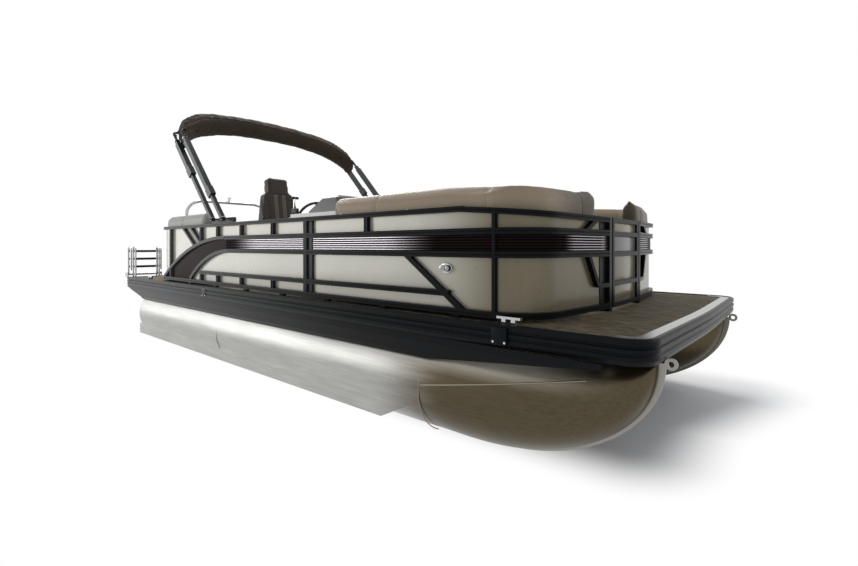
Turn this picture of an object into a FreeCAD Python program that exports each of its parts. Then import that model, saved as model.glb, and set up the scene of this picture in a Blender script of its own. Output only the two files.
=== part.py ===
"""Pontoon boat on two aluminium tubes, with fences, lounges, helm, folded sunshade and outboard.

The frame has +X to the bow, +Y to port and +Z up, in millimetres. The origin is on the ground,
under the middle of the boat. Positions along the boat are given as distances back from the
front edge of the deck, as a yard would tape them.
"""
import FreeCAD, Part
import math
import operator
import os
import Sketcher
from types import SimpleNamespace

doc = FreeCAD.newDocument("pontoon_boat")
sheet = doc.addObject("Spreadsheet::Sheet", "Sizes")

# Driving sizes, one sheet cell each
SIZES = {
    # Hull and deck
    "deck_front": 3860,
    "deck_length": 6940,
    "beam": 2590,
    "tube_radius": 317.5,
    "tube_spacing": 1950,
    "tube_setback": 433,
    "keel_depth": 18,
    "keel_width": 20,
    "nose_setback": 70,
    "nose_length": 1310,
    "nose_tip_half": 12,
    "nose_tip_height": 30,
    "nose_flat_half": 10,
    "keel_rise_length": 970,
    "keel_plate_depth": 34,
    "keel_plate_width": 12,
    "eye_radius": 30,
    "eye_hole_radius": 14,
    "eye_reach": 56,
    "strake_setback": 470,
    "strake_front": 1753,
    "strake_tip": 1430,
    "strake_top": 228,
    "strake_bottom": 65,
    "strake_face": 1262,
    "bracket_width": 130,
    "bracket_wall": 8,
    "bracket_rise": 40,
    "bracket_front": 420,
    "member_height": 75,
    "member_width": 38,
    "member_wall": 5,
    "member_pitch": 404,
    "member_first": 300,
    "member_half_length": 1222,
    "wing_member_back": 6830,
    "wing_member_inner": 450,
    "deck_thickness": 25,
    "corner_radius": 150,
    "stern_radius": 60,
    "bow_taper_back": 1100,
    "bow_taper": 48,
    "bow_round": 30,
    "front_radius": 12000,
    "notch_length": 560,
    "notch_half_width": 430,
    "rub_width": 33,
    "rub_height": 120,
    "rub_rise": 8,
    "skirt_height": 150,
    "skirt_inset": 48,
    "skirt_wall": 11,
    "skirt_stern_cut": 530,
    "skirt_bow_start": 1340,
    "skirt_bow_end": 240,
    "skirt_bow_rise": 120,
    "bow_trim_width": 60,
    "bow_trim_height": 4,
    "bow_trim_back": 230,
    # Motor pod and outboard
    "pod_width": 480,
    "pod_length": 1300,
    "pod_depth": 330,
    "transom_back": 6590,
    "transom_thickness": 50,
    "transom_rise": 65,
    "transom_width": 620,
    "pod_nose_depth": 140,
    "tilt_rise": 40,
    "tilt_aft": 15,
    "tilt_pin_radius": 18,
    "rest_tilt": 48,
    "clamp_half_width": 132,
    "clamp_plate": 12,
    "clamp_reach": 78,
    "clamp_drop": 330,
    "clamp_hook": 60,
    "swivel_half_width": 112,
    "steer_axis_back": 100,
    "barrel_radius": 42,
    "barrel_top": 70,
    "barrel_drop": 250,
    "yoke_thickness": 34,
    "yoke_gap": 6,
    "leg_front": 150,
    "leg_length": 190,
    "leg_width": 150,
    "leg_drop": 640,
    "cowl_bottom": 130,
    "cowl_height": 560,
    "cowl_length": 620,
    "cowl_width": 470,
    "cowl_centre_back": 240,
    "plate_drop": 660,
    "plate_length": 420,
    "plate_width": 230,
    "plate_thickness": 12,
    "gear_drop": 850,
    "gear_radius": 58,
    "gear_length": 400,
    "gear_front": 30,
    "skeg_drop": 1035,
    "skeg_length": 210,
    "skeg_width": 16,
    "prop_radius": 185,
    "prop_hub_radius": 46,
    "prop_hub_length": 110,
    "prop_gap": 5,
    "prop_shaft_radius": 14,
    "steer_pin_radius": 22,
    "blade_thickness": 8,
    # Fences
    "fence_half": 1215,
    "rail_height": 38,
    "rail_depth": 32,
    "rail_groove": 5,
    "top_rail_height": 34,
    "panel_thickness": 4,
    "bottom_rail_rise": 20,
    "lower_rail_rise": 126,
    "band_low_rise": 366,
    "band_high_rise": 503,
    "top_rail_rise": 642,
    "bow_rail_drop": 50,
    "bow_slope_back": 1140,
    "fence_stern_back": 5930,
    "stern_corner_radius": 200,
    "stern_upright_back": 5560,
    "front_corner_back": 640,
    "front_corner_radius": 330,
    "gate_line_back": 535,
    "gate_post_half": 310,
    "gate_post_width": 45,
    "gate_post_depth": 100,
    "mid_post_back": 2715,
    "mid_post_width": 46,
    "seam_back": 881,
    "seam_width": 22,
    "seam_inset": 4,
    "upright_width": 34,
    "upright_edge": 9,
    "upright_web": 12,
    "upright_back_1": 1965,
    "upright_back_2": 3230,
    "upright_back_3": 3805,
    "upright_back_4": 4310,
    "upright_back_5": 4710,
    "riser_width": 60,
    "riser_pitch": 640,
    "riser_first_back": 1180,
    "brace_top_back": 1579,
    "brace_foot_back": 1147,
    "brace_width": 34,
    "band_start_back": 4350,
    "band_depth": 14,
    "band_rib_pitch": 16,
    "band_rib_depth": 6,
    "arc_start_back": 4140,
    "arc_radius": 3050,
    "arc_end_back": 5787,
    "inner_arc_start_back": 4060,
    "inner_arc_radius": 1515,
    "arc_rail_height": 34,
    "swoosh_plate": 8,
    "stern_stay_back": 5228,
    "stern_stay_pitch": 205,
    "stern_stay_width": 44,
    "stern_stay_slope_share": 0.67,
    "bow_stay_top_side": 612,
    "bow_stay_foot_side": 462,
    "bow_stay_bottom_side": 480,
    "bow_stay_rise": 164,
    "bow_stay_width": 28,
    "bow_stay_bend": 60,
    # Gates
    "gate_gap": 9,
    "hinge_gap": 20,
    "gate_depth": 28,
    "gate_tube": 30,
    "side_gate_back": 2770,
    "side_gate_width": 640,
    "stern_gate_left": 620,
    "stern_gate_width": 640,
    "hinge_radius": 7,
    "hinge_pin_radius": 4,
    "hinge_height": 34,
    "hinge_leaf": 4,
    "hinge_low": 130,
    "hinge_high": 560,
    # Fits
    "running_gap": 0.05,
    "seat_gap": 0.3,
    "swing_gap": 8,
    # Bow lounges
    "seat_height": 430,
    "seat_cushion": 110,
    "seat_wall": 22,
    "bow_seat_inner": 480,
    "bow_seat_aft_back": 2520,
    "bow_seat_front_back": 880,
    "backrest_thickness": 150,
    "backrest_top": 825,
    "backrest_round": 68,
    "bow_back_inner": 447,
    "bow_aft_corner": 190,
    "cushion_corner": 150,
    "cushion_aft_corner": 70,
    # Stern lounges
    "port_seat_front_back": 3560,
    "port_seat_inner": 620,
    "stern_seat_depth": 640,
    "port_stern_inner": 80,
    "corner_seat_front_back": 4680,
    "corner_seat_inner": 690,
    # Helm
    "helm_side": 625,
    "console_front_back": 2565,
    "console_length": 815,
    "console_width": 660,
    "console_height": 738,
    "console_wall": 14,
    "console_round": 60,
    "dash_height": 140,
    "dash_setback": 300,
    "dash_brow": 545,
    "dash_nose": 90,
    "wheel_radius": 178,
    "wheel_rim": 13,
    "wheel_hub": 34,
    "column_radius": 24,
    "column_length": 70,
    "wheel_shaft_radius": 9,
    "wheel_tilt": 62,
    "wheel_rise": 715,
    "wheel_back": 3445,
    "chair_back": 3950,
    "chair_side": 575,
    "pedestal_foot_radius": 180,
    "pedestal_radius": 45,
    "pedestal_foot_height": 30,
    "chair_seat_height": 395,
    "chair_seat_width": 568,
    "chair_seat_length": 500,
    "chair_seat_thickness": 135,
    "chair_back_width": 560,
    "chair_back_height": 512,
    "chair_back_thickness": 130,
    "chair_back_tilt": 8,
    "headrest_width": 300,
    "headrest_height": 190,
    "headrest_thickness": 120,
    "bolster_width": 95,
    "bolster_depth": 195,
    "arm_width": 60,
    "arm_height": 50,
    "arm_length": 290,
    "arm_setback": 50,
    "arm_rise": 235,
    "chair_shaft_radius": 20,
    "chair_shaft_height": 70,
    # Sunshade
    "shade_out": 48,
    "shade_pivot_rise": 715,
    "aft_pivot_back": 4295,
    "fore_pivot_back": 4065,
    "shade_tilt": 44,
    "shade_leg_length": 1320,
    "shade_tube": 40,
    "shade_outer_tube": 56,
    "aft_sleeve_foot": 700,
    "fore_sleeve_foot": 340,
    "shade_clamp": 78,
    "shade_clamp_length": 120,
    "boot_end": 1222,
    "boot_depth": 240,
    "boot_crown": 1905,
    "boot_height": 240,
    "boot_offset": 50,
    "boot_pin_reach": 30,
    "bow_tube": 30,
    "bow_start": 42,
    "bow_rise": 150,
    "bow_bend": 110,
    "bow_reach": 200,
    "bow_tail": 45,
    "shade_bracket_length": 470,
    "shade_bracket_height": 50,
    "shade_pin_radius": 6,
    # Tow arch
    "arch_foot_back": 6060,
    "arch_foot_half": 800,
    "arch_top_back": 6540,
    "arch_top_half": 640,
    "arch_height": 1112,
    "arch_tube": 44,
    "arch_corner_radius": 290,
    "arch_brace_foot_back": 6700,
    "arch_brace_foot_half": 850,
    "arch_brace_share": 0.55,
    "arch_flange_radius": 60,
    "arch_flange_height": 8,
    "hook_radius": 20,
    "hook_height": 70,
    "hook_cap_radius": 36,
    # Ladder
    "ladder_side": 1065,
    "ladder_width": 380,
    "ladder_tube": 26,
    "ladder_height": 385,
    "ladder_overhang": 24,
    "ladder_tread": 60,
    "ladder_tread_height": 26,
    "ladder_first_tread": 95,
    "ladder_tread_pitch": 110,
    "ladder_hinge_rise": 34,
    "ladder_hinge_radius": 8,
    "hand_rail_tube": 22,
    "hand_rail_height": 420,
    "hand_rail_reach": 50,
    "hand_rail_inset": 40,
    "hand_rail_length": 95,
    # Fittings
    "cleat_length": 150,
    "cleat_height": 45,
    "cleat_width": 26,
    "bow_cleat_back": 770,
    "stern_cleat_back": 6200,
    "cleat_inset": 75,
    "light_back": 1240,
    "light_rise": 305,
    "light_radius": 40,
    "light_reach": 30,
}


class Size:
    """A size that is both a number and the expression that gives it from the sheet."""

    def __init__(self, value, words):
        self.value = float(value)
        self.words = words

    def __float__(self):
        return self.value

    def __neg__(self):
        return Size(-self.value, "-(" + self.words + ")")

    def __add__(self, other):
        return joined(self, other, "+")

    def __radd__(self, other):
        return joined(other, self, "+")

    def __sub__(self, other):
        return joined(self, other, "-")

    def __rsub__(self, other):
        return joined(other, self, "-")

    def __mul__(self, other):
        return joined(self, other, "*")

    def __rmul__(self, other):
        return joined(other, self, "*")

    def __truediv__(self, other):
        return joined(self, other, "/")

    def __rtruediv__(self, other):
        return joined(other, self, "/")


SIGNS = {"+": operator.add, "-": operator.sub, "*": operator.mul, "/": operator.truediv}


def words_of(size):
    return size.words if isinstance(size, Size) else repr(float(size))


def joined(left, right, sign):
    value = SIGNS[sign](float(left), float(right))
    return Size(value, "(" + words_of(left) + " " + sign + " " + words_of(right) + ")")


def root(size):
    return Size(math.sqrt(float(size)), "sqrt(" + words_of(size) + ")")


def sine(angle):
    return Size(math.sin(math.radians(float(angle))), "sin(" + words_of(angle) + ")")


def cosine(angle):
    return Size(math.cos(math.radians(float(angle))), "cos(" + words_of(angle) + ")")


def tangent(angle):
    return Size(math.tan(math.radians(float(angle))), "tan(" + words_of(angle) + ")")


def fill_sheet():
    """Write every driving size to the sheet and hand back the sizes by name."""
    named = {}
    for row, (name, value) in enumerate(SIZES.items(), start=1):
        sheet.set("A%d" % row, name)
        sheet.set("B%d" % row, str(value))
        sheet.setAlias("B%d" % row, name)
        named[name] = Size(value, "Sizes." + name)
    doc.recompute()
    return SimpleNamespace(**named)


s = fill_sheet()

# Ways to lay a flat drawing in the boat
FLAT = FreeCAD.Rotation()
SIDE_VIEW = FreeCAD.Rotation(FreeCAD.Vector(1, 0, 0), 90)
END_VIEW = FreeCAD.Rotation(FreeCAD.Vector(1, 1, 1), 120)


def vec(x, y, z):
    return FreeCAD.Vector(float(x), float(y), float(z))


def bind(thing, name, size):
    """Tie a property to a size, or just set it where the size is a plain zero."""
    thing.setExpression(name, words_of(size))


def place(thing, x, y, z, turn=FLAT):
    thing.Placement = FreeCAD.Placement(vec(x, y, z), turn)
    for axis, size in zip("xyz", (x, y, z)):
        bind(thing, "Placement.Base." + axis, size)
    return thing


def box(x, y, z, dx, dy, dz, turn=FLAT):
    """A plain block with one corner at x, y, z."""
    block = doc.addObject("Part::Box", "Block")
    bind(block, "Length", dx)
    bind(block, "Width", dy)
    bind(block, "Height", dz)
    return place(block, x, y, z, turn)


ALONG_X = FreeCAD.Rotation(FreeCAD.Vector(0, 1, 0), 90)
ALONG_Y = FreeCAD.Rotation(FreeCAD.Vector(1, 0, 0), -90)
STANDING = FreeCAD.Rotation(FreeCAD.Vector(1, 1, 1), -120)


def rod(x, y, z, radius, length, turn=FLAT):
    """A round bar that starts at x, y, z and runs along the turned Z axis."""
    bar = doc.addObject("Part::Cylinder", "Rod")
    bind(bar, "Radius", radius)
    bind(bar, "Height", length)
    return place(bar, x, y, z, turn)


def fuse(*pieces):
    union = doc.addObject("Part::MultiFuse", "Union")
    union.Shapes = list(pieces)
    return union


def cut(base, *tools):
    result = doc.addObject("Part::Cut", "Trimmed")
    result.Base = base
    result.Tool = tools[0] if len(tools) == 1 else fuse(*tools)
    return result


def common(first, second):
    shared = doc.addObject("Part::MultiCommon", "Shared")
    shared.Shapes = [first, second]
    return shared


def group(*pieces):
    together = doc.addObject("Part::Compound", "Group")
    together.Links = list(pieces)
    return together


def mirror(piece):
    """The same piece on the other side of the boat."""
    twin = doc.addObject("Part::Mirroring", "Twin")
    twin.Source = piece
    twin.Normal = FreeCAD.Vector(0, 1, 0)
    return twin


def feature(shape):
    """A shape made by direct modelling, where a sketch or a primitive doesn't fit."""
    made = doc.addObject("Part::Feature", "Form")
    made.Shape = shape
    return made


nodes = []


def node(piece, label):
    """Name a finished sub-part of the boat and keep it for the hand-over."""
    piece.Label = label
    nodes.append(piece)
    return piece


def origin_plane(body, role):
    return next(item for item in body.Origin.OriginFeatures if item.Role == role)


def sketch_on(body, role):
    drawing = body.newObject("Sketcher::SketchObject", "Drawing")
    drawing.AttachmentSupport = (origin_plane(body, role), "")
    drawing.MapMode = "FlatFace"
    return drawing


def pin_point(drawing, item, end, x, y):
    """Hold a drawing's point at x, y from its origin."""
    for kind, size in (("DistanceX", x), ("DistanceY", y)):
        row = drawing.addConstraint(Sketcher.Constraint(kind, -1, 1, item, end, float(size)))
        if isinstance(size, Size):
            drawing.setExpression("Constraints[%d]" % row, size.words)


def rounding(before, corner, after, radius):
    """Where an arc of this radius leaves the two lines at a corner, and its centre."""
    back = (before - corner).normalize()
    ahead = (after - corner).normalize()
    half = back.getAngle(ahead) / 2
    reach = radius / math.tan(half)
    middle = (back + ahead).normalize()
    centre = corner + middle * (radius / math.sin(half))
    return corner + back * reach, corner + ahead * reach, centre


def trace(drawing, corners, closed=True):
    """Draw lines through the corners (x, y) or (x, y, radius), rounded where a radius is given."""
    points = [vec(corner[0], corner[1], 0) for corner in corners]
    count = len(points)
    entries = list(points)
    exits = list(points)
    arcs = {}
    for i, corner in enumerate(corners):
        if len(corner) < 3:
            continue
        radius = float(corner[2])
        entry, leave, centre = rounding(points[i - 1], points[i], points[(i + 1) % count], radius)
        entries[i] = entry
        exits[i] = leave
        left = (entry - centre).cross(leave - centre).z > 0
        first, last = (entry, leave) if left else (leave, entry)
        circle = Part.Circle(centre, FreeCAD.Vector(0, 0, 1), radius)
        arc = Part.ArcOfCircle(circle, circle.parameter(first), circle.parameter(last))
        arcs[i] = (drawing.addGeometry(arc), 1 if left else 2, 2 if left else 1)
    lines = {}
    for i in range(count if closed else count - 1):
        lines[i] = drawing.addGeometry(Part.LineSegment(exits[i], entries[(i + 1) % count]))
    for i, corner in enumerate(corners):
        before = lines.get((i - 1) % count)
        after = lines.get(i)
        if i in arcs:
            arc, arc_in, arc_out = arcs[i]
            drawing.addConstraint(Sketcher.Constraint("Tangent", before, 2, arc, arc_in))
            drawing.addConstraint(Sketcher.Constraint("Tangent", arc, arc_out, after, 1))
            row = drawing.addConstraint(Sketcher.Constraint("Radius", arc, float(corner[2])))
            bind(drawing, "Constraints[%d]" % row, corner[2])
            mark = drawing.addGeometry(Part.Point(points[i]), True)
            drawing.addConstraint(Sketcher.Constraint("PointOnObject", mark, 1, before))
            drawing.addConstraint(Sketcher.Constraint("PointOnObject", mark, 1, after))
            pin_point(drawing, mark, 1, corner[0], corner[1])
        elif after is None:
            pin_point(drawing, before, 2, corner[0], corner[1])
        else:
            pin_point(drawing, after, 1, corner[0], corner[1])
            if before is not None:
                drawing.addConstraint(Sketcher.Constraint("Coincident", before, 2, after, 1))
    return len(lines) + len(arcs)


def slab(outline, depth, at=(0, 0, 0), turn=FLAT, holes=()):
    """A flat piece: an outline in its own XY plane, padded along its own Z."""
    body = doc.addObject("PartDesign::Body", "Slab")
    drawing = sketch_on(body, "XY_Plane")
    trace(drawing, outline)
    for hole in holes:
        trace(drawing, hole)
    pad = body.newObject("PartDesign::Pad", "Pad")
    pad.Profile = drawing
    bind(pad, "Length", depth)
    return place(body, *at, turn)


def pipe(path, section, at=(0, 0, 0), turn=FLAT):
    """A bar swept along a path in its own XY plane that starts at its origin, along its X."""
    body = doc.addObject("PartDesign::Body", "Bar")
    route = sketch_on(body, "XY_Plane")
    count = trace(route, path, closed=False)
    profile = sketch_on(body, "YZ_Plane")
    if len(section) == 1:
        circle = profile.addGeometry(Part.Circle(vec(0, 0, 0), vec(0, 0, 1), float(section[0])))
        profile.addConstraint(Sketcher.Constraint("Coincident", circle, 3, -1, 1))
        row = profile.addConstraint(Sketcher.Constraint("Radius", circle, float(section[0])))
        bind(profile, "Constraints[%d]" % row, section[0])
    else:
        trace(profile, section)
    sweep = body.newObject("PartDesign::AdditivePipe", "Sweep")
    sweep.Profile = profile
    sweep.Spine = (route, ["Edge%d" % (i + 1) for i in range(count)])
    return place(body, *at, turn)


def turned(outline, at=(0, 0, 0), turn=FLAT):
    """A round piece: an outline of radius and height, revolved about its own Z."""
    body = doc.addObject("PartDesign::Body", "Turned")
    drawing = sketch_on(body, "XZ_Plane")
    trace(drawing, outline)
    spin = body.newObject("PartDesign::Revolution", "Revolution")
    spin.Profile = drawing
    spin.ReferenceAxis = (drawing, ["V_Axis"])
    spin.Angle = 360
    return place(body, *at, turn)


def tube_between(start, end, radius):
    """A straight round tube from one point to another, bound to the same sizes."""
    run = vec(*end) - vec(*start)
    turn = FreeCAD.Rotation(FreeCAD.Vector(0, 0, 1), run)
    length = root(sum((b - a) * (b - a) for a, b in zip(start, end)))
    return rod(*start, radius, length, turn)


# Places that several pieces share
def back(distance):
    """The x of a place this far back from the front edge of the deck."""
    return s.deck_front - distance


half_beam = s.beam / 2
tube_side = s.tube_spacing / 2
tube_height = s.keel_depth + s.tube_radius
tube_top = tube_height + s.tube_radius
member_floor = tube_top + s.bracket_rise
deck_floor = member_floor + s.member_height
deck_top = deck_floor + s.deck_thickness
deck_stern = back(s.deck_length)
tube_stern = deck_stern + s.tube_setback
nose_tip = back(s.nose_setback)
nose_start = nose_tip - s.nose_length


def above_deck(rise):
    return deck_top + rise


def nose_section(share):
    """One lens-shaped section of the nose: two bent skins that meet at the keel and the top."""
    rise_share = max(0.0, 1 - (1 - share) * float(s.nose_length / s.keel_rise_length))
    bottom = -s.tube_radius + (s.tube_radius * 2 - s.nose_tip_height) * (1 - math.sqrt(1 - rise_share ** 2))
    top = root(s.tube_radius * s.tube_radius - s.nose_flat_half * s.nose_flat_half)
    half = s.nose_tip_half + (s.tube_radius - s.nose_tip_half) * math.sqrt(1 - share ** 2.5)
    middle = (bottom + top) / 2
    x = nose_start + s.nose_length * share
    foot = vec(x, 0, bottom)
    left = Part.Arc(foot, vec(x, half, middle), vec(x, s.nose_flat_half, top)).toShape()
    lid = Part.makeLine(vec(x, s.nose_flat_half, top), vec(x, -s.nose_flat_half, top))
    right = Part.Arc(vec(x, -s.nose_flat_half, top), vec(x, -half, middle), foot).toShape()
    return Part.Wire([left, lid, right])


def keel_plate():
    """The plate on edge along the nose's keel seam, with the towing eye at its tip."""
    outer_x = s.keel_rise_length + s.keel_plate_depth
    centre = vec(nose_tip - s.keel_rise_length, 0, s.tube_radius)
    outer = Part.Ellipse(centre + vec(outer_x, 0, 0), centre - vec(0, 0, s.tube_radius * 2 + s.keel_depth), centre)
    inner_x = s.keel_rise_length - s.keel_plate_depth
    inner = Part.Ellipse(centre + vec(inner_x, 0, 0), centre - vec(0, 0, s.tube_radius * 2 - s.keel_depth), centre)
    quarter = math.pi / 2
    outer_arc = Part.ArcOfEllipse(outer, 0, quarter).toShape()
    inner_arc = Part.ArcOfEllipse(inner, 0, quarter).toShape()
    tip = Part.makeLine(centre + vec(outer_x, 0, 0), centre + vec(inner_x, 0, 0))
    heel = Part.makeLine(centre - vec(0, 0, s.tube_radius * 2 + s.keel_depth),
                         centre - vec(0, 0, s.tube_radius * 2 - s.keel_depth))
    outline = Part.Wire(Part.__sortEdges__([outer_arc, tip, inner_arc, heel]))
    plate = Part.Face(outline).extrude(vec(0, s.keel_plate_width, 0))
    plate.translate(vec(0, -s.keel_plate_width / 2, 0))
    eye_x = nose_tip + s.eye_reach
    side = vec(0, 1, 0)
    eye_spot = vec(eye_x, -s.keel_plate_width / 2, s.tube_radius)
    ring = Part.makeCylinder(float(s.eye_radius), float(s.keel_plate_width), eye_spot, side)
    hole = Part.makeCylinder(float(s.eye_hole_radius), float(s.keel_plate_width * 3),
                             eye_spot - vec(0, s.keel_plate_width, 0), side)
    return plate.fuse(ring).cut(hole)


def pontoons():
    """Two closed tubes with planing noses, keel strips and towing eyes, lifting strakes outboard."""
    shares = (0, 0.15, 0.3, 0.45, 0.6, 0.74, 0.86, 0.95, 1)
    nose = Part.makeLoft([nose_section(share) for share in shares], True, False)
    front = feature(nose.fuse(keel_plate()))
    place(front, 0, -tube_side, tube_height)
    length = nose_start - tube_stern
    r = s.tube_radius
    barrel = turned([(0, 0), (r * 0.75, 0, r * 0.2), (r, r * 0.3, r * 0.3), (r, length), (0, length)],
                    (tube_stern, -tube_side, tube_height), ALONG_X)
    keel_length = nose_tip - s.keel_rise_length - tube_stern
    strip = box(tube_stern, -tube_side - s.keel_width / 2, 0, keel_length, s.keel_width, s.keel_depth * 1.2)
    strake_x = deck_stern + s.strake_setback
    outline = [(strake_x, s.strake_bottom), (back(s.strake_front), s.strake_bottom),
               (back(s.strake_tip), s.strake_top), (strake_x, s.strake_top)]
    wedge = slab(outline, s.strake_face - tube_side, (0, -tube_side, 0), SIDE_VIEW)
    full = rod(tube_stern, -tube_side, tube_height, s.tube_radius, s.deck_length, ALONG_X)
    starboard = node(fuse(barrel, front, strip, cut(wedge, full)), "pontoon_starboard")
    node(mirror(starboard), "pontoon_port")
    bracket_rails(full, front)


def bracket_rails(tube, nose):
    """Hat-shaped rails welded along the top of each tube, which carry the cross members."""
    half = s.bracket_width / 2
    inner = half - s.bracket_wall
    foot = s.tube_radius - s.bracket_rise
    top = s.tube_radius + s.bracket_rise
    roof = top - s.bracket_wall
    outline = [(-half, foot), (-inner, foot), (-inner, roof), (inner, roof),
               (inner, foot), (half, foot), (half, top), (-half, top)]
    length = s.deck_length - s.bracket_front - s.tube_setback * 1.3
    hat = slab(outline, length, (deck_stern + s.tube_setback * 1.3, -tube_side, tube_height), END_VIEW)
    starboard = cut(hat, tube, nose, held(nose, (0, 0, s.seat_gap), FLAT))
    node(group(starboard, mirror(starboard)), "pontoon_brackets")


def cross_members():
    """Channels across the tubes under the deck, and short ones under the two stern wings."""
    width = s.member_width
    wall = s.member_wall
    high = s.member_height
    outline = [(0, 0), (width, 0), (width, wall), (wall, wall), (wall, high - wall),
               (width, high - wall), (width, high), (0, high)]
    body = doc.addObject("PartDesign::Body", "Channels")
    drawing = sketch_on(body, "XZ_Plane")
    trace(drawing, outline)
    pad = body.newObject("PartDesign::Pad", "Channel")
    pad.Profile = drawing
    bind(pad, "Length", s.member_half_length * 2)
    room = s.deck_length - s.notch_length - s.member_first - s.member_width
    count = int(float(room / s.member_pitch)) + 1
    row = body.newObject("PartDesign::LinearPattern", "Row")
    row.Originals = [pad]
    row.Direction = (drawing, ["H_Axis"])
    row.Reversed = True
    row.Occurrences = count
    bind(row, "Length", s.member_pitch * (count - 1))
    body.Tip = row
    place(body, back(s.member_first), s.member_half_length, member_floor)
    wing_length = s.member_half_length - s.wing_member_inner
    wing = slab(outline, wing_length, (back(s.wing_member_back), -s.wing_member_inner, member_floor), SIDE_VIEW)
    node(group(body, wing, mirror(wing)), "cross_members")


def hull_edge(inset):
    """The plan outline of the deck edge, moved inwards by inset, from the starboard stern round."""
    side = half_beam - inset
    bow_side = side - s.bow_taper
    front = back(inset)
    shoulder = front - s.bow_round
    corner = s.corner_radius - inset
    taper_x = back(s.bow_taper_back)
    return [(deck_stern + s.stern_radius, -side), (taper_x, -side, s.front_radius),
            (shoulder, -bow_side, corner), (front, 0, s.front_radius),
            (shoulder, bow_side, corner), (taper_x, side, s.front_radius),
            (deck_stern + s.stern_radius, side)]


def deck():
    """The deck panel, with the motor notch at the stern."""
    edge = hull_edge(s.rub_width)
    side = half_beam - s.rub_width
    notch_x = deck_stern + s.notch_length
    stern = [(deck_stern, side, s.stern_radius), (deck_stern, s.notch_half_width, s.stern_radius / 2),
             (notch_x, s.notch_half_width, s.stern_radius), (notch_x, -s.notch_half_width, s.stern_radius),
             (deck_stern, -s.notch_half_width, s.stern_radius / 2), (deck_stern, -side, s.stern_radius)]
    outline = edge[1:-1] + stern
    node(slab(outline, s.deck_thickness, (0, 0, deck_floor)), "deck")


def from_start(points):
    """The same path measured from its first point."""
    x0, y0 = points[0][:2]
    return [(p[0] - x0, p[1] - y0) + tuple(p[2:]) for p in points]


def edge_mouldings():
    """The ribbed rub rail round the deck, the skirts under its sides and the bright bow trim."""
    wide = s.rub_width
    high = s.rub_height
    rise = s.rub_rise
    rib_shares = [(0, -0.03), (0, -0.20), (0.24, -0.25), (0.24, -0.30), (0, -0.35), (0, -0.50),
                  (0.24, -0.55), (0.24, -0.60), (0.06, -0.65), (0.06, -0.80), (0.42, -1)]
    section = [(wide, 0), (wide * 0.85, rise), (wide * 0.3, rise)]
    section += [(wide * a, high * b) for a, b in rib_shares]
    section += [(wide, -high)]
    edge = hull_edge(0)
    start = edge[0]
    node(pipe(from_start(edge), section, (start[0], start[1], deck_top)), "rub_rail")
    trim_edge = hull_edge(s.rub_width)
    trim = [(back(s.bow_trim_back), trim_edge[2][1])] + trim_edge[2:5] + [(back(s.bow_trim_back), trim_edge[4][1])]
    strip = [(0, 0), (s.bow_trim_width, 0), (s.bow_trim_width, s.bow_trim_height), (0, s.bow_trim_height)]
    node(pipe(from_start(trim), strip, (trim[0][0], trim[0][1], deck_top)), "bow_trim")
    skirts()


def skirts():
    """Side skirts that hang from the rub rail and sweep up at the stern and the bow."""
    wall = s.skirt_wall
    drop = s.skirt_height
    inset = s.skirt_inset
    lean_shares = [(0.25, 0), (0.4, -0.3), (1, -0.85), (0.9, -1)]
    outer = [(inset * a, drop * b) for a, b in lean_shares]
    inner = [(x + wall, z) for x, z in reversed(outer)]
    top = deck_top - s.rub_height
    length = s.deck_length - s.skirt_bow_end
    hanging = slab([(x - half_beam, z) for x, z in outer + inner], length, (deck_stern, 0, top), END_VIEW)
    foot = top - s.skirt_height
    outline = [(deck_stern, top), (deck_stern + s.skirt_stern_cut, foot), (back(s.skirt_bow_start), foot),
               (back(s.skirt_bow_end), foot + s.skirt_bow_rise), (back(s.skirt_bow_end), top)]
    window = slab(outline, half_beam, (0, 0, 0), SIDE_VIEW)
    starboard = common(hanging, window)
    node(group(starboard, mirror(starboard)), "side_skirts")


def motor_pod():
    """The box between the tubes that ends in the transom."""
    aft = back(s.transom_back)
    inner = aft + s.transom_thickness
    front = aft + s.pod_length
    floor = member_floor - s.pod_depth
    outline = [(aft, floor), (front - s.pod_depth, floor), (front, member_floor - s.pod_nose_depth),
               (front, member_floor), (aft, member_floor)]
    hull = slab(outline, s.pod_width, (0, s.pod_width / 2, 0), SIDE_VIEW)
    board = box(aft, -s.transom_width / 2, member_floor - s.clamp_drop * 0.6,
                inner - aft, s.transom_width, s.clamp_drop * 0.6 + s.transom_rise)
    node(fuse(hull, board), "motor_pod")


def build_hull():
    pontoons()
    cross_members()
    deck()
    edge_mouldings()
    motor_pod()


# Outboard: its own frame has its origin on the tilt pin and stands upright, then leans by rest_tilt
tilt_x = back(s.transom_back) - s.tilt_aft
tilt_z = member_floor + s.transom_rise + s.tilt_rise
TILTED = FreeCAD.Rotation(FreeCAD.Vector(0, 1, 0), float(s.rest_tilt))


def on_engine(piece):
    """Set a piece that was made in the outboard's upright frame on the tilted outboard."""
    holder = doc.addObject("Part::Compound", "Tilted")
    holder.Links = [piece]
    place(holder, tilt_x, 0, tilt_z, TILTED)
    bind(holder, "Placement.Rotation.Angle", s.rest_tilt)
    return holder


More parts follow.
